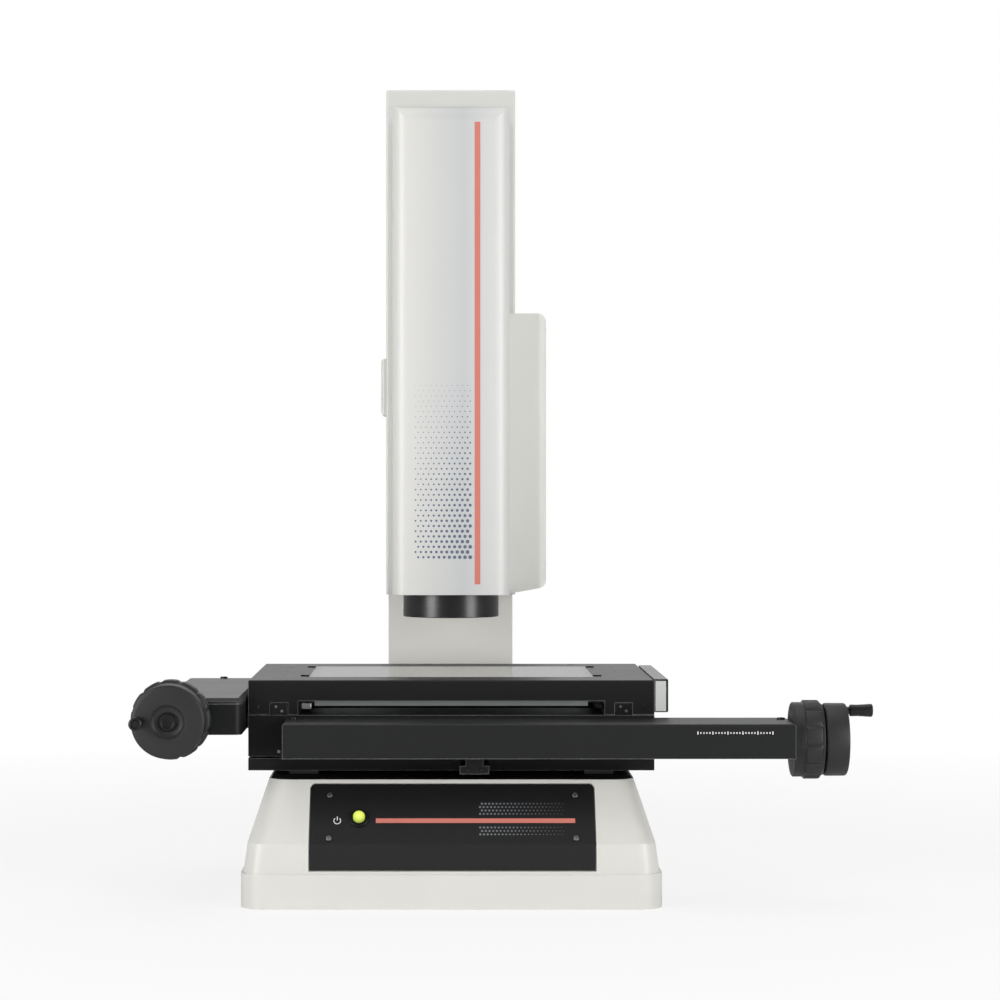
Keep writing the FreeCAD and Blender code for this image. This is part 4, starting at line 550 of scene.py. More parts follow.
class Draft:
    """A mesh under construction, in metres, in the row frame."""

    smooth_up_to = math.radians(35)
    screw_steps = 48

    def __init__(self) -> None:
        """Starts empty."""
        self.mesh = bmesh.new()

    def block(self, low: Sequence[float], high: Sequence[float]) -> "Draft":
        """Adds a box between two corners."""
        size = Vector(high) - Vector(low)
        middle = (Vector(high) + Vector(low)) / 2
        matrix = Matrix.Translation(middle) @ Matrix.Diagonal((*size, 1.0))
        bmesh.ops.create_cube(self.mesh, size=1.0, matrix=matrix)
        return self

    def lathe(self, origin: Sequence[float], axis: Vector, profile: Iterable[tuple],
              steps: int) -> "Draft":
        """Adds a closed solid of revolution.

        Args:
            origin: the point on the axis from which heights count.
            axis: its direction.
            profile: heights along the axis and radii, with radius 0 at both ends, or at
                neither for a tube. A third item gives a factor on the radius for an angle.
            steps: points round the axis.

        Returns:
            The draft.
        """
        turn = axis.normalized().to_track_quat("Z", "X").to_matrix().to_4x4()
        frame = Matrix.Translation(Vector(origin)) @ turn
        rings = []
        for height, radius, *shape in profile:
            ring = []
            for step in range(steps if radius > 0 else 1):
                angle = 2 * math.pi * step / steps
                wide = radius * (shape[0](angle) if shape else 1.0)
                spot = Vector((wide * math.cos(angle), wide * math.sin(angle), height))
                ring.append(self.mesh.verts.new(frame @ spot))
            rings.append(ring)
        is_tube = len(rings[0]) > 1 and len(rings[-1]) > 1
        for first, second in zip(rings, rings[1:] + (rings[:1] if is_tube else [])):
            self.join_rings(first, second, steps)
        return self

    def join_rings(self, first: list, second: list, steps: int) -> None:
        """Adds the faces between two rings, either of which may be a point."""
        if len(first) == 1 and len(second) == 1:
            return
        for step in range(steps):
            following = (step + 1) % steps
            if len(first) == 1:
                corners = (first[0], second[following], second[step])
            elif len(second) == 1:
                corners = (first[step], first[following], second[0])
            else:
                corners = (first[step], first[following], second[following], second[step])
            self.mesh.faces.new(corners)

    def plate(self, outline: Sequence[Sequence[float]], lift: Vector) -> "Draft":
        """Adds a flat plate with a given outline and thickness.

        Args:
            outline: its corners in order.
            lift: the way from the one face to the other.

        Returns:
            The draft.
        """
        lower = [self.mesh.verts.new(Vector(corner)) for corner in outline]
        upper = [self.mesh.verts.new(Vector(corner) + lift) for corner in outline]
        self.mesh.faces.new(lower[::-1])
        self.mesh.faces.new(upper)
        count = len(lower)
        for index in range(count):
            after = (index + 1) % count
            self.mesh.faces.new((lower[index], lower[after], upper[after], upper[index]))
        return self

    def screws(self, feet: Iterable[Sequence[float]], axis: Vector, radius: float,
               height: float) -> "Draft":
        """Adds cap screws with a six-sided recess.

        Args:
            feet: the middles of the heads' seats.
            axis: the way that the heads face.
            radius: a head's radius.
            height: a head's height.

        Returns:
            The draft.
        """
        rim, key = radius * 0.12, radius * 0.48
        profile = (
            (0.0, 0.0), (0.0, radius), (height - rim, radius), (height, radius - rim),
            (height, key * 1.35), (height, key, hexagon),
            (height - height * 0.6, key, hexagon), (height * 0.35, 0.0))
        for foot in feet:
            self.lathe(foot, axis, profile, self.screw_steps)
        return self

    def build(self, name: str, material: bpy.types.Material, body: str, slot: str,
              bevel: float = 0.0) -> bpy.types.Object:
        """Turns the draft into a piece that rides on a body.

        Args:
            name: the piece's name.
            material: its finish.
            body: the body that it rides on.
            slot: the record's material slot that it stands for; not used.
            bevel: the width of its softened edges.

        Returns:
            The piece.
        """
        bmesh.ops.recalc_face_normals(self.mesh, faces=self.mesh.faces)
        data = bpy.data.meshes.new(name)
        self.mesh.to_mesh(data)
        self.mesh.free()
        data.shade_smooth()
        data.set_sharp_from_angle(angle=self.smooth_up_to)
        data.materials.append(material)
        piece = bpy.data.objects.new(name, data)
        bpy.context.scene.collection.objects.link(piece)
        soften(piece, bevel)
        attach(piece, body)
        return piece


def soften(piece: bpy.types.Object, width: float) -> None:
    """Rounds the sharp edges of a piece with a modifier, unless the width is 0."""
    if not width:
        return
    rounding = piece.modifiers.new("soft_edges", "BEVEL")
    rounding.width = width
    rounding.segments = 2
    rounding.limit_method = "ANGLE"
    rounding.angle_limit = math.radians(40)
    rounding.harden_normals = False


def corner_box(node: str) -> tuple[Vector, Vector]:
    """The lowest and highest corner of a CAD node."""
    low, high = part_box(node)
    return Vector(low), Vector(high)


def ring_points(centre: Vector, radius: float, across: Vector, up: Vector,
                count: int) -> list[Vector]:
    """Points round a circle in the plane of two directions."""
    turn = 2 * math.pi / count
    return [centre + across * radius * math.cos(turn * step)
            + up * radius * math.sin(turn * step) for step in range(count)]


class SoftBox(NamedTuple):
    """A rectangular lamp: its place, its width and height, and its power in watts."""

    name: str
    place: Point
    size: tuple[float, float]
    power: float


SOFT_BOXES = (
    SoftBox("left_box", (-1.75, -1.6, 0.62), (0.9, 1.15), 30.5),
    SoftBox("right_box", (1.8, -1.55, 0.62), (0.9, 1.15), 29.5),
    SoftBox("top_box", (0.0, 0.1, 2.4), (1.8, 1.8), 15.0),
    SoftBox("back_box", (0.0, 2.6, 1.4), (2.0, 1.2), 8.0),
)


@dataclass
class Studio:
    """The camera, lamps and floor, in metres; the lens and sensor are in millimetres."""

    distance: float = 2.511
    eye_x: float = -0.0063
    eye_z: float = 0.345
    lens: float = 100.0
    sensor: float = 36.0
    farthest: float = 60.0
    centre_right: float = 0.056
    centre_up: float = -0.005
    target: Point = (0.0, 0.0, 0.3)
    floor_half: float = 12.0
    floor_grey: float = 0.88
    near_share: float = 0.8
    fade_start: float = 0.5
    fade_width: float = 0.9
    light_level: float = 0.3
    front_level: float = 0.2
    back_level: float = 0.62

    def camera(self) -> None:
        """A level camera, a little below the middle of the machine's height."""
        data = bpy.data.cameras.new("camera")
        data.lens = self.lens
        data.sensor_width = self.sensor
        data.shift_x = self.centre_right
        data.shift_y = self.centre_up
        data.clip_end = self.farthest
        eye = bpy.data.objects.new("camera", data)
        eye.location = (self.eye_x, -self.distance, self.eye_z)
        eye.rotation_euler = (math.pi / 2, 0.0, 0.0)
        bpy.context.scene.collection.objects.link(eye)
        bpy.context.scene.camera = eye

    def lamps(self) -> None:
        """Two soft boxes low at the sides, one overhead and one behind."""
        for box in SOFT_BOXES:
            data = bpy.data.lights.new(box.name, "AREA")
            data.shape = "RECTANGLE"
            data.size, data.size_y = box.size
            data.energy = box.power
            lamp = bpy.data.objects.new(box.name, data)
            lamp.location = box.place
            aim = Vector(self.target) - Vector(box.place)
            lamp.rotation_euler = aim.to_track_quat("-Z", "Y").to_euler()
            bpy.context.scene.collection.objects.link(lamp)

    def world(self) -> None:
        """A pale surround: white where it is seen, softer as light, dim where mirrored."""
        world = bpy.data.worlds.new("surround")
        world.use_nodes = True
        bpy.context.scene.world = world
        tree = Tree(world.node_tree)
        seen, glossy, through = (
            tree.ray(f"Is {kind} Ray") for kind in ("Camera", "Glossy", "Transmission"))
        way = tree.coordinates("Generated")
        back = tree.node("ShaderNodeSeparateXYZ", {}, {0: way}, "Y") * 0.5 + 0.5
        mirrored = self.front_level + back * (self.back_level - self.front_level)
        shown = (glossy + through).clamped()
        unseen = self.light_level + shown * (mirrored - self.light_level)
        backdrop = tree.tree.nodes["Background"]
        backdrop.inputs["Color"].default_value = WHITE
        tree.link(unseen + seen * (1.0 - unseen), backdrop.inputs["Strength"])

    def floor(self) -> None:
        """A plain pale floor that keeps a soft shadow and runs out to plain white."""
        mesh = bpy.data.meshes.new("floor")
        half = self.floor_half
        mesh.from_pydata([(-half, -half, 0), (half, -half, 0), (half, half, 0),
                          (-half, half, 0)], [], [(0, 1, 2, 3)])
        floor = bpy.data.objects.new("floor", mesh)
        bpy.context.scene.collection.objects.link(floor)
        recipe = Recipe("floor")
        recipe.feed(Base_Color=(self.floor_grey, self.floor_grey, self.floor_grey, 1.0),
                    Roughness=0.9, Specular_IOR_Level=0.0)
        away = recipe.measure("LENGTH", recipe.coordinates())
        seen = recipe.ray("Is Camera Ray")
        fade = ((away - self.fade_start) / self.fade_width).clamped()
        share = seen * (self.near_share + (1.0 - self.near_share) * fade)
        glow = recipe.node("ShaderNodeEmission", {}, {"Color": WHITE})
        mixed = recipe.node("ShaderNodeMixShader", {}, {
            0: share, 1: Shade(recipe, recipe.shader.outputs[0]), 2: glow})
        recipe.link(mixed, recipe.tree.nodes["Material Output"].inputs["Surface"])
        mesh.materials.append(recipe.material)

    def build(self) -> None:
        """Sets up the whole studio."""
        self.camera()
        self.lamps()
        self.world()
        self.floor()
        bpy.context.scene.view_settings.view_transform = "Standard"


# The CAD nodes that show as they are: their finish, the width of their softened edges in
# millimetres, and their names.
CARRIED = (
    ("white", 1.2, "base_plinth"),
    ("white", 0.8, "base_casting"),
    ("column", 0.8, "column_casting"),
    ("housing", 0.5, "column_housing rear_cover port_cover"),
    ("side", 0.5, "side_cover"),
    ("cover", 0.5, "head_cover"),
    ("stage", 0.35, "base_top_plate stage_base_plate stage_table x_feed_nut y_feed_nut"),
    ("carriage", 0.3, "x_carriage_frame"),
    ("scale", 0.35, "y_scale_housing"),
    ("drive", 0.4, "x_drive_housing y_drive_housing"),
    ("lid", 0.4, "y_drive_lid"),
    ("panel", 0.25, "front_panel"),
    ("black", 0.3, "power_bezel power_inlet"),
    ("barrel", 0.4, "objective_barrel"),
    ("black", 0.6, "zoom_tube camera z_motor"),
    ("steel", 0.3, "x_guide_rails power_supply bottom_plate"),
    ("bar", 0.3, "front_bar"),
    ("rail", 0.3, "y_guide_rails"),
    ("screw", 0.2, "z_guide_rails z_screw z_bearings x_feed_screw y_feed_screw "
     "x_drive_bearings y_drive_bearings x_guide_blocks y_guide_blocks z_guide_blocks"),
    ("dark_screw", 0.2, "x_crank_pin y_crank_pin"),
    ("aluminium", 0.4, "head_carriage backlight_lamp"),
    ("seat", 0.3, "stage_seats"),
    ("brass", 0.3, "z_nut"),
    ("glass", 0.3, "stage_glass"),
    ("lens", 0.0, "backlight_window front_lens"),
    ("knob", 0.4, "x_crank_knob y_crank_knob"),
    ("wheel", 0.4, "x_handwheel y_handwheel x_release_ring y_release_ring"),
    ("dark_screw", 0.0, "panel_screws table_screws drive_screws"),
    ("lamp", 0.6, "power_button"),
)


def dress(nodes: dict[str, bpy.types.Object], finishes: Materials) -> None:
    """Gives every CAD node that is carried over its finish and its edge rounding."""
    for finish, edge, names in CARRIED:
        for name in names.split():
            node = nodes[name]
            node.data.materials.clear()
            node.data.materials.append(finishes[finish])
            soften(node, edge * MM)


@dataclass
class Head:
    """What is on the head: the line, the print and the cover's screws."""

    finishes: Materials
    stripe_x: float = 23.3 * MM
    stripe_width: float = 5.0 * MM
    stripe_low: float = 266.0 * MM
    stripe_high: float = 675.0 * MM
    ink: float = 0.12 * MM
    dot_pitch: float = 4.6 * MM
    dot_rows: int = 34
    dot_columns: int = 11
    dot_radius: float = 1.75 * MM
    dot_low: float = 290.0 * MM
    dot_offset: float = 1.4
    dot_corners: int = 12
    screw_radius: float = 2.9 * MM
    screw_height: float = 1.8 * MM
    screw_y: float = 55.0 * MM
    screw_levels: tuple = (300.0 * MM, 480.0 * MM, 650.0 * MM)

    def stripe(self) -> None:
        """The upright orange line."""
        low, _ = corner_box("head_cover")
        half = self.stripe_width / 2
        draft = Draft().block((self.stripe_x - half, low.y - self.ink, self.stripe_low),
                              (self.stripe_x + half, low.y + self.ink, self.stripe_high))
        draft.build("head_stripe", self.finishes["orange"], "head", "cover_paint")

    def print_dots(self) -> None:
        """A field of dots that shrink upwards and to the left, left of the line."""
        low, _ = corner_box("head_cover")
        draft = Draft()
        across, up = Axis.X.vector, Axis.Z.vector
        for row in range(self.dot_rows):
            fade = 1 - row / self.dot_rows
            z = self.dot_low + row * self.dot_pitch
            for column in range(self.dot_columns):
                away = column + self.dot_offset + 0.5 * (row % 2)
                centre = Vector((self.stripe_x - away * self.dot_pitch, low.y - self.ink, z))
                shrink = 1 - 0.5 * column / self.dot_columns
                wide = self.dot_radius * (0.2 + 0.8 * fade) * shrink
                draft.plate(ring_points(centre, wide, across, up, self.dot_corners),
                            Vector((0, 2 * self.ink, 0)))
        draft.build("head_dots", self.finishes["slate"], "head", "cover_paint")

    def screws(self) -> None:
        """The screws that hold the cover to the mounting plate, three on each side."""
        low, high = corner_box("head_cover")
        draft = Draft()
        for side, axis in ((low.x, -Axis.X.vector), (high.x, Axis.X.vector)):
            draft.screws([(side, self.screw_y, level) for level in self.screw_levels], axis,
                         self.screw_radius, self.screw_height)
        draft.build("head_cover_screws", self.finishes["screw"], "head", "plated_screw")

    def build(self) -> None:
        """Adds the head's pieces."""
        self.stripe()
        self.print_dots()
        self.screws()


@dataclass
class FrontPanel:
    """The print, screws and lit switch on the front panel, part of which slopes."""

    finishes: Materials
    lean: float = field(init=False)
    shoulder_y: float = field(init=False)
    thickness: float = 2.5 * MM
    stripe_left: float = -63.4 * MM
    stripe_right: float = 103.5 * MM
    stripe_level: float = 72.2 * MM
    stripe_height: float = 3.5 * MM
    symbol_x: float = -95.7 * MM
    symbol_level: float = 72.1 * MM
    symbol_radius: float = 3.2 * MM
    symbol_line: float = 0.65 * MM
    symbol_opening: float = math.radians(38)
    symbol_steps: int = 40
    ink: float = 0.12 * MM
    shoulder_height: float = 54.0 * MM
    dot_pitch: float = 3.1 * MM
    dot_left: float = 24.0 * MM
    dot_columns: int = 23
    dot_rows: tuple = (-4, -3, -2, 2, 3, 4, 5)
    dot_radius: float = 0.95 * MM
    dot_corners: int = 10
    screw_places: tuple = ((-102.5, 58.5), (-102.5, 92.0), (104.0, 58.5), (104.0, 92.0))
    switch_x: float = -77.5 * MM
    switch_level: float = 74.0 * MM

    def __post_init__(self) -> None:
        """Reads the slope from the panel's own box."""
        low, high = corner_box("front_panel")
        run = (high.y - self.thickness) - low.y
        self.lean = math.atan2(high.z - self.shoulder_height, run)
        self.shoulder_y = low.y

    def spot(self, x: float, level: float, proud: float = 0.0) -> Vector:
        """A point on the sloping face.

        Args:
            x: how far to the right it is.
            level: its height above the bench.
            proud: how far it stands off the face.

        Returns:
            The point.
        """
        y = self.shoulder_y + (level - self.shoulder_height) / math.tan(self.lean)
        return Vector((x, y, level)) + self.outward() * proud

    def outward(self) -> Vector:
        """The way that the sloping face looks."""
        return Vector((0.0, -math.sin(self.lean), math.cos(self.lean)))

    def upward(self) -> Vector:
        """The way up along the sloping face."""
        return Vector((0.0, math.cos(self.lean), math.sin(self.lean)))

    def stripe(self) -> None:
        """The orange line across the panel."""
        half = self.stripe_height / 2
        corners = ((self.stripe_left, -half), (self.stripe_right, -half),
                   (self.stripe_right, half), (self.stripe_left, half))
        outline = [self.spot(x, self.stripe_level + up, -self.ink) for x, up in corners]
        draft = Draft().plate(outline, self.outward() * 2 * self.ink)
        draft.build("panel_stripe", self.finishes["orange"], "base", "black_panel")

    def symbol(self) -> None:
        """The general sign for power: an open ring with a short bar."""
        draft = Draft()
        centre = self.spot(self.symbol_x, self.symbol_level, -self.ink)
        across, up = Axis.X.vector, self.upward()
        opening, steps = self.symbol_opening, self.symbol_steps
        inner, outer = [], []
        for step in range(steps + 1):
            angle = math.pi / 2 + opening + (2 * math.pi - 2 * opening) * step / steps
            way = across * math.cos(angle) + up * math.sin(angle)
            inner.append(centre + way * (self.symbol_radius - self.symbol_line))
            outer.append(centre + way * self.symbol_radius)
        lift = self.outward() * 2 * self.ink
        for index in range(steps):
            draft.plate((inner[index], inner[index + 1], outer[index + 1], outer[index]), lift)
        half = self.symbol_line / 2
        low, high = self.symbol_radius * 0.15, self.symbol_radius * 1.25
        draft.plate([centre + across * x + up * z
                     for x, z in ((-half, low), (half, low), (half, high), (-half, high))], lift)
        bmesh.ops.remove_doubles(draft.mesh, verts=draft.mesh.verts, dist=1e-7)
        draft.build("power_symbol", self.finishes["ivory"], "base", "black_panel")

    def dots(self) -> None:
        """A band of small grey dots above and below the line, that fades to the right."""
        draft = Draft()
        across, up = Axis.X.vector, self.upward()
        for row in self.dot_rows:
            level = self.stripe_level + row * self.dot_pitch * 0.85
            for column in range(self.dot_columns):
                x = self.dot_left + (column + 0.5 * (row % 2)) * self.dot_pitch
                wide = self.dot_radius * (1 - 0.75 * column / self.dot_columns)
                outline = ring_points(self.spot(x, level, -self.ink), wide, across, up,
                                      self.dot_corners)
                draft.plate(outline, self.outward() * 2 * self.ink)
        draft.build("panel_dots", self.finishes["grey"], "base", "black_panel")

    def screws(self) -> None:
        """Four small cap screws in place of the plain ones."""
        feet = [self.spot(x * MM, level * MM) for x, level in self.screw_places]
        draft = Draft().screws(feet, self.outward(), 2.3 * MM, 1.3 * MM)
        piece = draft.build("panel_cap_screws", self.finishes["screw"], "base",
                            "plated_screw")
        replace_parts(piece, "panel_screws")

    def switch(self) -> None:
        """The domed lit cap in its collar."""
        seat = self.spot(self.switch_x, self.switch_level)
        dome = Draft().lathe(seat, self.outward(), in_metres((
            (-9.0, 0.0), (-9.0, 4.95), (4.4, 4.95), (5.1, 4.5), (5.45, 3.4), (5.6, 1.8),
            (5.6, 0.0))), 48)
        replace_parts(dome.build("switch_dome", self.finishes["lamp"], "power_switch",
                               "lit_button"), "power_button")
        collar = Draft().lathe(seat, self.outward(), in_metres((
            (-15.9, 5.35), (-15.9, 7.0), (0.0, 7.0), (0.0, 8.2), (1.1, 8.2), (1.6, 7.7),
            (1.6, 6.7), (2.6, 6.3), (2.6, 5.9), (2.0, 5.35))), 56)
        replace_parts(collar.build("switch_collar", self.finishes["black"], "base",
                                 "black_plastic"), "power_bezel")

    def build(self) -> None:
        """Adds the panel's pieces."""
        self.stripe()
        self.symbol()
        self.dots()
        self.screws()
        self.switch()


@dataclass
class HandDrive:
    """The release ring, handwheel and crank of one drive, out along the drive's axis."""

    finishes: Materials
    drive: Drive
    lobes: int = 12
    phase: float = 0.0
    valley: float = 0.042
    wheel_start: float = 26.8 * MM
    cap_start: float = 16.9 * MM
    knob_length: float = 19.5 * MM
    centre: Vector = field(init=False)
    axis: Vector = field(init=False)

    def __post_init__(self) -> None:
        """Reads the axis and its start from the CAD nodes."""
        wheel_low, wheel_high = corner_box(f"{self.drive.value}_handwheel")
        ring_low, ring_high = corner_box(f"{self.drive.value}_release_ring")
        middle = (wheel_low + wheel_high) / 2
        if self.drive is Drive.X:
            self.axis = Axis.X.vector
            self.centre = Vector((ring_low.x, middle.y, middle.z))
        else:
            self.axis = Axis.FRONT.vector
            self.centre = Vector((middle.x, ring_high.y, middle.z))

    def grips(self, angle: float) -> float:
        """Broad lobes with soft valleys, as a factor on the radius."""
        wave = abs(math.cos((angle + self.phase) * self.lobes / 2))
        return 1.0 - self.valley * (1 - min(1.0, wave * 1.9)) ** 1.2

    def ring(self) -> None:
        """The release ring with its band of broad grips."""
        grips = self.grips
        draft = Draft().lathe(self.centre, self.axis, in_metres((
            (0.0, 14.3), (0.0, 30.6), (0.8, 31.5), (8.6, 31.5), (9.2, 31.9),
            (9.6, 33.1, grips), (10.4, 33.25, grips), (21.0, 33.25, grips),
            (22.6, 32.8, grips), (23.3, 31.4), (24.2, 30.6), (25.3, 30.0), (25.3, 14.3))), 288)
        name = f"{self.drive.value}_ring_grip"
        piece = draft.build(name, self.finishes["wheel"], f"{self.drive.value}_ring",
                            "dark_grey_plastic")
        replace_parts(piece, f"{self.drive.value}_release_ring")

    def wheel(self) -> None:
        """The handwheel: a slightly conical rim, a dished face and a hub cap."""
        draft = Draft().lathe(self.centre + self.axis * self.wheel_start, self.axis, in_metres((
            (0.0, 5.05), (0.0, 29.6), (0.9, 30.6), (2.2, 30.8), (17.0, 30.7), (18.4, 30.2),
            (19.2, 28.9), (19.5, 27.0), (20.1, 20.0), (20.65, 15.4), (20.5, 14.4),
            (18.9, 13.2), (17.8, 11.6), (17.5, 9.2), (17.5, 5.05))), 128)
        name = f"{self.drive.value}_wheel_body"
        piece = draft.build(name, self.finishes["wheel"], f"{self.drive.value}_wheel",
                            "dark_grey_plastic")
        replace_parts(piece, f"{self.drive.value}_handwheel")
        seat = self.centre + self.axis * (self.wheel_start + self.cap_start)
        cap = Draft().lathe(seat, self.axis, in_metres((
            (0.0, 0.0), (0.0, 8.0), (2.0, 8.0), (2.8, 7.2), (3.0, 5.5), (2.6, 4.9),
            (2.55, 4.5), (2.55, 0.0))), 64)
        cap.build(f"{self.drive.value}_hub_cap", self.finishes["black"],
                  f"{self.drive.value}_wheel", "black_plastic")

    def knob(self) -> None:
        """The crank's knob with its waist and the hollow in its end."""
        low, high = corner_box(f"{self.drive.value}_crank_knob")
        foot = (low + high) / 2 - self.axis * self.knob_length / 2
        draft = Draft().lathe(foot, self.axis, in_metres((
            (0.0, 2.6), (0.0, 4.3), (0.5, 4.9), (2.0, 5.0), (6.0, 4.85), (12.0, 5.15),
            (17.6, 5.55), (18.8, 5.35), (19.4, 4.6), (19.5, 3.6), (18.2, 3.1), (18.2, 0.0),
            (17.4, 0.0), (17.4, 2.6))), 64)
        piece = draft.build(f"{self.drive.value}_knob_grip", self.finishes["knob"],
                            f"{self.drive.value}_knob", "black_plastic")
        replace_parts(piece, f"{self.drive.value}_crank_knob")

    def build(self) -> None:
        """Adds the drive's pieces."""
        self.ring()
        self.wheel()
        self.knob()


@dataclass
class Stage:
    """Small parts of the table, the arm and the drive box."""

    finishes: Materials
    mark_left: float = 205.6 * MM
    mark_right: float = 268.2 * MM
    mark_level: float = 146.4 * MM
    mark_height: float = 2.6 * MM
    mark_half: float = 0.45 * MM
    marks: int = 26
    ink: float = 0.12 * MM
    cap_screw_radius: float = 3.4 * MM
    drive_screw_places: tuple = ((281.0, -141.0, 153.6), (-134.8, -141.0, 153.6),
                                 (-211.5, 80.3, 174.0), (-211.5, -166.3, 174.0))
    table_screw_places: tuple = (-61.5, -37.0, 0.0, 37.0, 61.5, 113.0)

    def arm_marks(self) -> None:
        """A row of plain white ticks near the outer end of the arm."""
        low, _ = corner_box("x_drive_housing")
        draft = Draft()
        pitch = (self.mark_right - self.mark_left) / (self.marks - 1)
        for index in range(self.marks):
            x = self.mark_left + index * pitch
            tall = self.mark_height * (1.0 if index % 5 == 0 else 0.55)
            draft.block((x - self.mark_half, low.y - self.ink, self.mark_level - tall / 2),
                        (x + self.mark_half, low.y + self.ink, self.mark_level + tall / 2))
        draft.build("arm_ticks", self.finishes["ivory"], "x_carriage", "black_anodised")

    def drive_screws(self) -> None:
        """Cap screws on the arm and the lid."""
        feet = [(x * MM, y * MM, level * MM) for x, y, level in self.drive_screw_places]
        draft = Draft().screws(feet, Axis.Z.vector, self.cap_screw_radius, 1.6 * MM)
        piece = draft.build("drive_cap_screws", self.finishes["dark_screw"], "x_carriage",
                            "plated_screw")
        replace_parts(piece, "drive_screws")

    def table_screws(self) -> None:
        """Sunk cap screws behind the glass."""
        low, high = corner_box("table_screws")
        y = (low.y + high.y) / 2
        height = 2.7 * MM
        feet = [(x * MM, y, high.z - height) for x in self.table_screw_places]
        draft = Draft().screws(feet, Axis.Z.vector, self.cap_screw_radius, height)
        piece = draft.build("table_cap_screws", self.finishes["dark_screw"], "table",
                            "plated_screw")
        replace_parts(piece, "table_screws")

    def label(self) -> None:
        """The blank white label on the front of the scale housing."""
        low, high = corner_box("y_scale_housing")
        inset = 1.0 * MM
        draft = Draft().block((low.x + inset, low.y - self.ink, low.z + inset),
                              (high.x - 2 * inset, low.y + self.ink, high.z - 1.8 * inset))
        draft.build("blank_label", self.finishes["label"], "table", "black_anodised", 0.05 * MM)

    def front_fittings(self) -> None:
        """The steel stop, the round buffer and the screws seen under the front edge."""
        low, _ = corner_box("stage_table")
        level = 162.5 * MM
        steel = Draft().block((-129.4 * MM, low.y + 4 * MM, 160.0 * MM),
                              (-120.8 * MM, low.y + 13 * MM, 165.6 * MM))
        steel.build("stop_block", self.finishes["steel"], "table", "ground_steel", 0.6 * MM)
        buffer = Draft().lathe((129.0 * MM, low.y + 12 * MM, level), Axis.FRONT.vector,
                               in_metres(((0.0, 0.0), (0.0, 2.9), (8.0, 2.9), (9.0, 2.0),
                                          (9.2, 0.0))), 40)
        buffer.build("stop_buffer", self.finishes["black"], "table", "black_plastic")
        feet = [(x * MM, low.y + 0.05 * MM, level) for x in (-166.0, 166.0)]
        screws = Draft().screws(feet, Axis.FRONT.vector, 1.7 * MM, 0.5 * MM)
        screws.build("table_front_screws", self.finishes["dark_screw"], "table", "plated_screw")

    def rail_caps(self) -> None:
        """The black caps on the front ends of the Y rails, with their screws."""
        low, high = corner_box("y_guide_rails")
        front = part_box("stage_table")[0][1] + 0.3 * MM
        half = 13.6 * MM / 2
        caps, screws = Draft(), Draft()
        for side in (-1, 1):
            middle = side * (high.x - 7.0 * MM)
            caps.block((middle - half, front, low.z + 0.1 * MM),
                       (middle + half, low.y, high.z - 0.3 * MM))
            feet = [(middle + x * MM, front, (low.z + high.z) / 2 + z * MM)
                    for x, z in ((-2.6, 2.2), (2.4, -1.6))]
            screws.screws(feet, Axis.FRONT.vector, 1.2 * MM, 0.4 * MM)
        frame_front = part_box("x_carriage_frame")[0][1]
        feet = [(x * MM, frame_front, 123.9 * MM) for x in (-148.7, 148.7)]
        screws.screws(feet, Axis.FRONT.vector, 1.4 * MM, 0.5 * MM)
        caps.build("rail_end_caps", self.finishes["black"], "x_carriage", "black_anodised",
                   0.3 * MM)
        screws.build("rail_cap_screws", self.finishes["screw"], "x_carriage", "plated_screw")

    def clip_pads(self) -> None:
        """The rubber pads in the slots at the ends of the glass, a little proud of the table."""
        low, high = corner_box("stage_glass")
        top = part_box("stage_table")[1][2]
        gap, proud, sunk = 0.3 * MM, 1.2 * MM, 1.95 * MM
        length, width, inset = 7.2 * MM, 4.8 * MM, 12.0 * MM
        draft = Draft()
        for y in (low.y + inset, high.y - inset):
            for x in (low.x - gap - length, high.x + gap):
                draft.block((x, y - width / 2, top - sunk),
                            (x + length, y + width / 2, top + proud))
        draft.build("clip_slot_pads", self.finishes["black"], "table", "black_plastic")

    def nut_screws(self) -> None:
        """The two screws of the nut's bracket."""
        low, _ = corner_box("x_feed_nut")
        feet = [(x * MM, -161.0 * MM, low.z + 3.5 * MM) for x in (13.5, 25.5)]
        draft = Draft().screws(feet, Axis.FRONT.vector, 1.5 * MM, 1.2 * MM)
        draft.build("nut_screws", self.finishes["dark_screw"], "base", "plated_screw")

    def build(self) -> None:
        """Adds the stage's pieces."""
        self.arm_marks()
        self.drive_screws()
        self.table_screws()
        self.label()
        self.front_fittings()
        self.rail_caps()
        self.clip_pads()
        self.nut_screws()


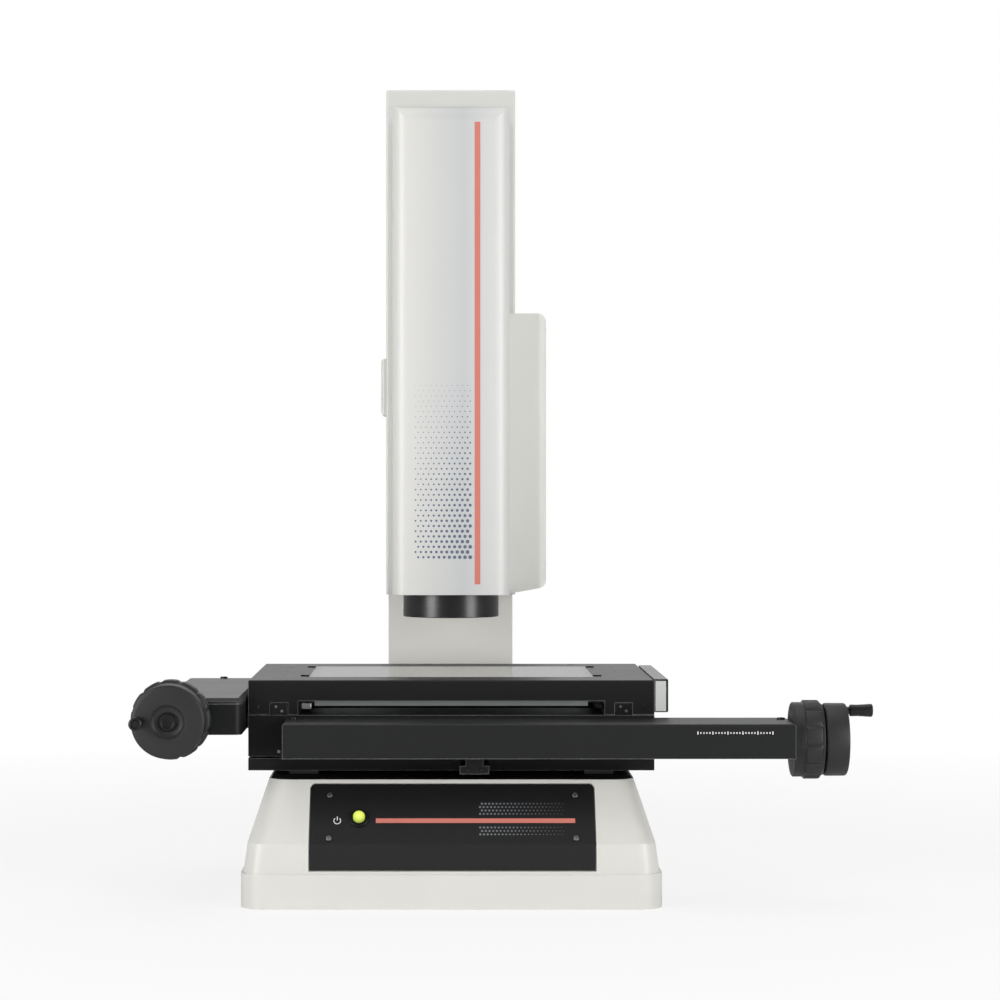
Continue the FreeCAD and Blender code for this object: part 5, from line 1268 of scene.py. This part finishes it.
@dataclass
class Column:
    """The screws, louvres and connector pins on the column and the back."""

    finishes: Materials
    louvre_rows: int = 14
    louvre_pitch: float = 9.0 * MM
    louvre_low: float = 560.0 * MM
    louvre_half: float = 38.0 * MM
    screw_inset: float = 7.0 * MM
    screw_rows: int = 6
    cover_inset: float = 14.0 * MM

    def back_screws(self) -> None:
        """Screws round the rear cover."""
        low, high = corner_box("rear_cover")
        inset = self.screw_inset
        tall = high.z - low.z - 2 * inset
        feet = [(x, high.y, low.z + inset + tall * index / (self.screw_rows - 1))
                for x in (low.x + inset, high.x - inset) for index in range(self.screw_rows)]
        draft = Draft().screws(feet, Axis.Y.vector, 3.2 * MM, 1.6 * MM)
        draft.build("rear_cover_screws", self.finishes["screw"], "base", "plated_screw")

    def louvres(self) -> None:
        """Pressed louvres in the rear cover, each a hooded slot."""
        _, high = corner_box("rear_cover")
        draft = Draft()
        half = self.louvre_half
        for row in range(self.louvre_rows):
            z = self.louvre_low + row * self.louvre_pitch
            points = ((high.y - 0.2 * MM, z), (high.y + 2.4 * MM, z),
                      (high.y + 2.0 * MM, z + 2.6 * MM), (high.y - 0.2 * MM, z + 6.0 * MM))
            outline = [Vector((-half, y, level)) for y, level in points]
            draft.plate(outline, Vector((2 * half, 0, 0)))
        draft.build("rear_louvres", self.finishes["housing"], "base", "pale_grey_paint",
                    0.4 * MM)

    def side_screws(self) -> None:
        """Screws of the side cover and the small left cover."""
        low, high = corner_box("side_cover")
        inset = self.cover_inset
        feet = [(high.x - 1.1 * MM, y, z) for y in (low.y + inset, high.y - inset)
                for z in (low.z + 2 * inset, high.z - inset)]
        draft = Draft().screws(feet, Axis.X.vector, 2.9 * MM, 1.3 * MM)
        low, high = corner_box("port_cover")
        feet = [(low.x + 0.9 * MM, y, z) for y in (low.y + 8 * MM, high.y - 8 * MM)
                for z in (low.z + 9 * MM, high.z - 9 * MM)]
        draft.screws(feet, -Axis.X.vector, 2.2 * MM, 1.0 * MM)
        draft.build("side_cover_screws", self.finishes["screw"], "base", "plated_screw")

    def inlet_pins(self) -> None:
        """The three flat pins in the power inlet."""
        low, high = corner_box("power_inlet")
        middle = (low + high) / 2
        draft = Draft()
        for x, z in ((-7.0, -2.0), (7.0, -2.0), (0.0, 2.5)):
            place = Vector((middle.x + x * MM, high.y - 12.2 * MM, middle.z + z * MM))
            draft.block(place - Vector((1.0 * MM, 0, 2.0 * MM)),
                        place + Vector((1.0 * MM, 9.5 * MM, 2.0 * MM)))
        draft.build("inlet_pins", self.finishes["brass"], "base", "brass_nut", 0.3 * MM)

    def build(self) -> None:
        """Adds the column's pieces."""
        self.back_screws()
        self.louvres()
        self.side_screws()
        self.inlet_pins()


def main() -> None:
    """Builds the whole scene and reports each part of it."""
    logging.basicConfig(level=logging.INFO)
    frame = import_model()
    Studio().build()
    log.info("studio built")
    finishes = {name: finish.make() for name, finish in FINISHES.items()}
    dress(frame["nodes"], finishes)
    log.info("CAD nodes dressed")
    for part in (
        Head(finishes),
        FrontPanel(finishes),
        HandDrive(finishes, Drive.X, phase=math.radians(10)),
        HandDrive(finishes, Drive.Y),
        Stage(finishes),
        Column(finishes),
    ):
        part.build()
        log.info("%s built", type(part).__name__)


if __name__ == "__main__":
    main()
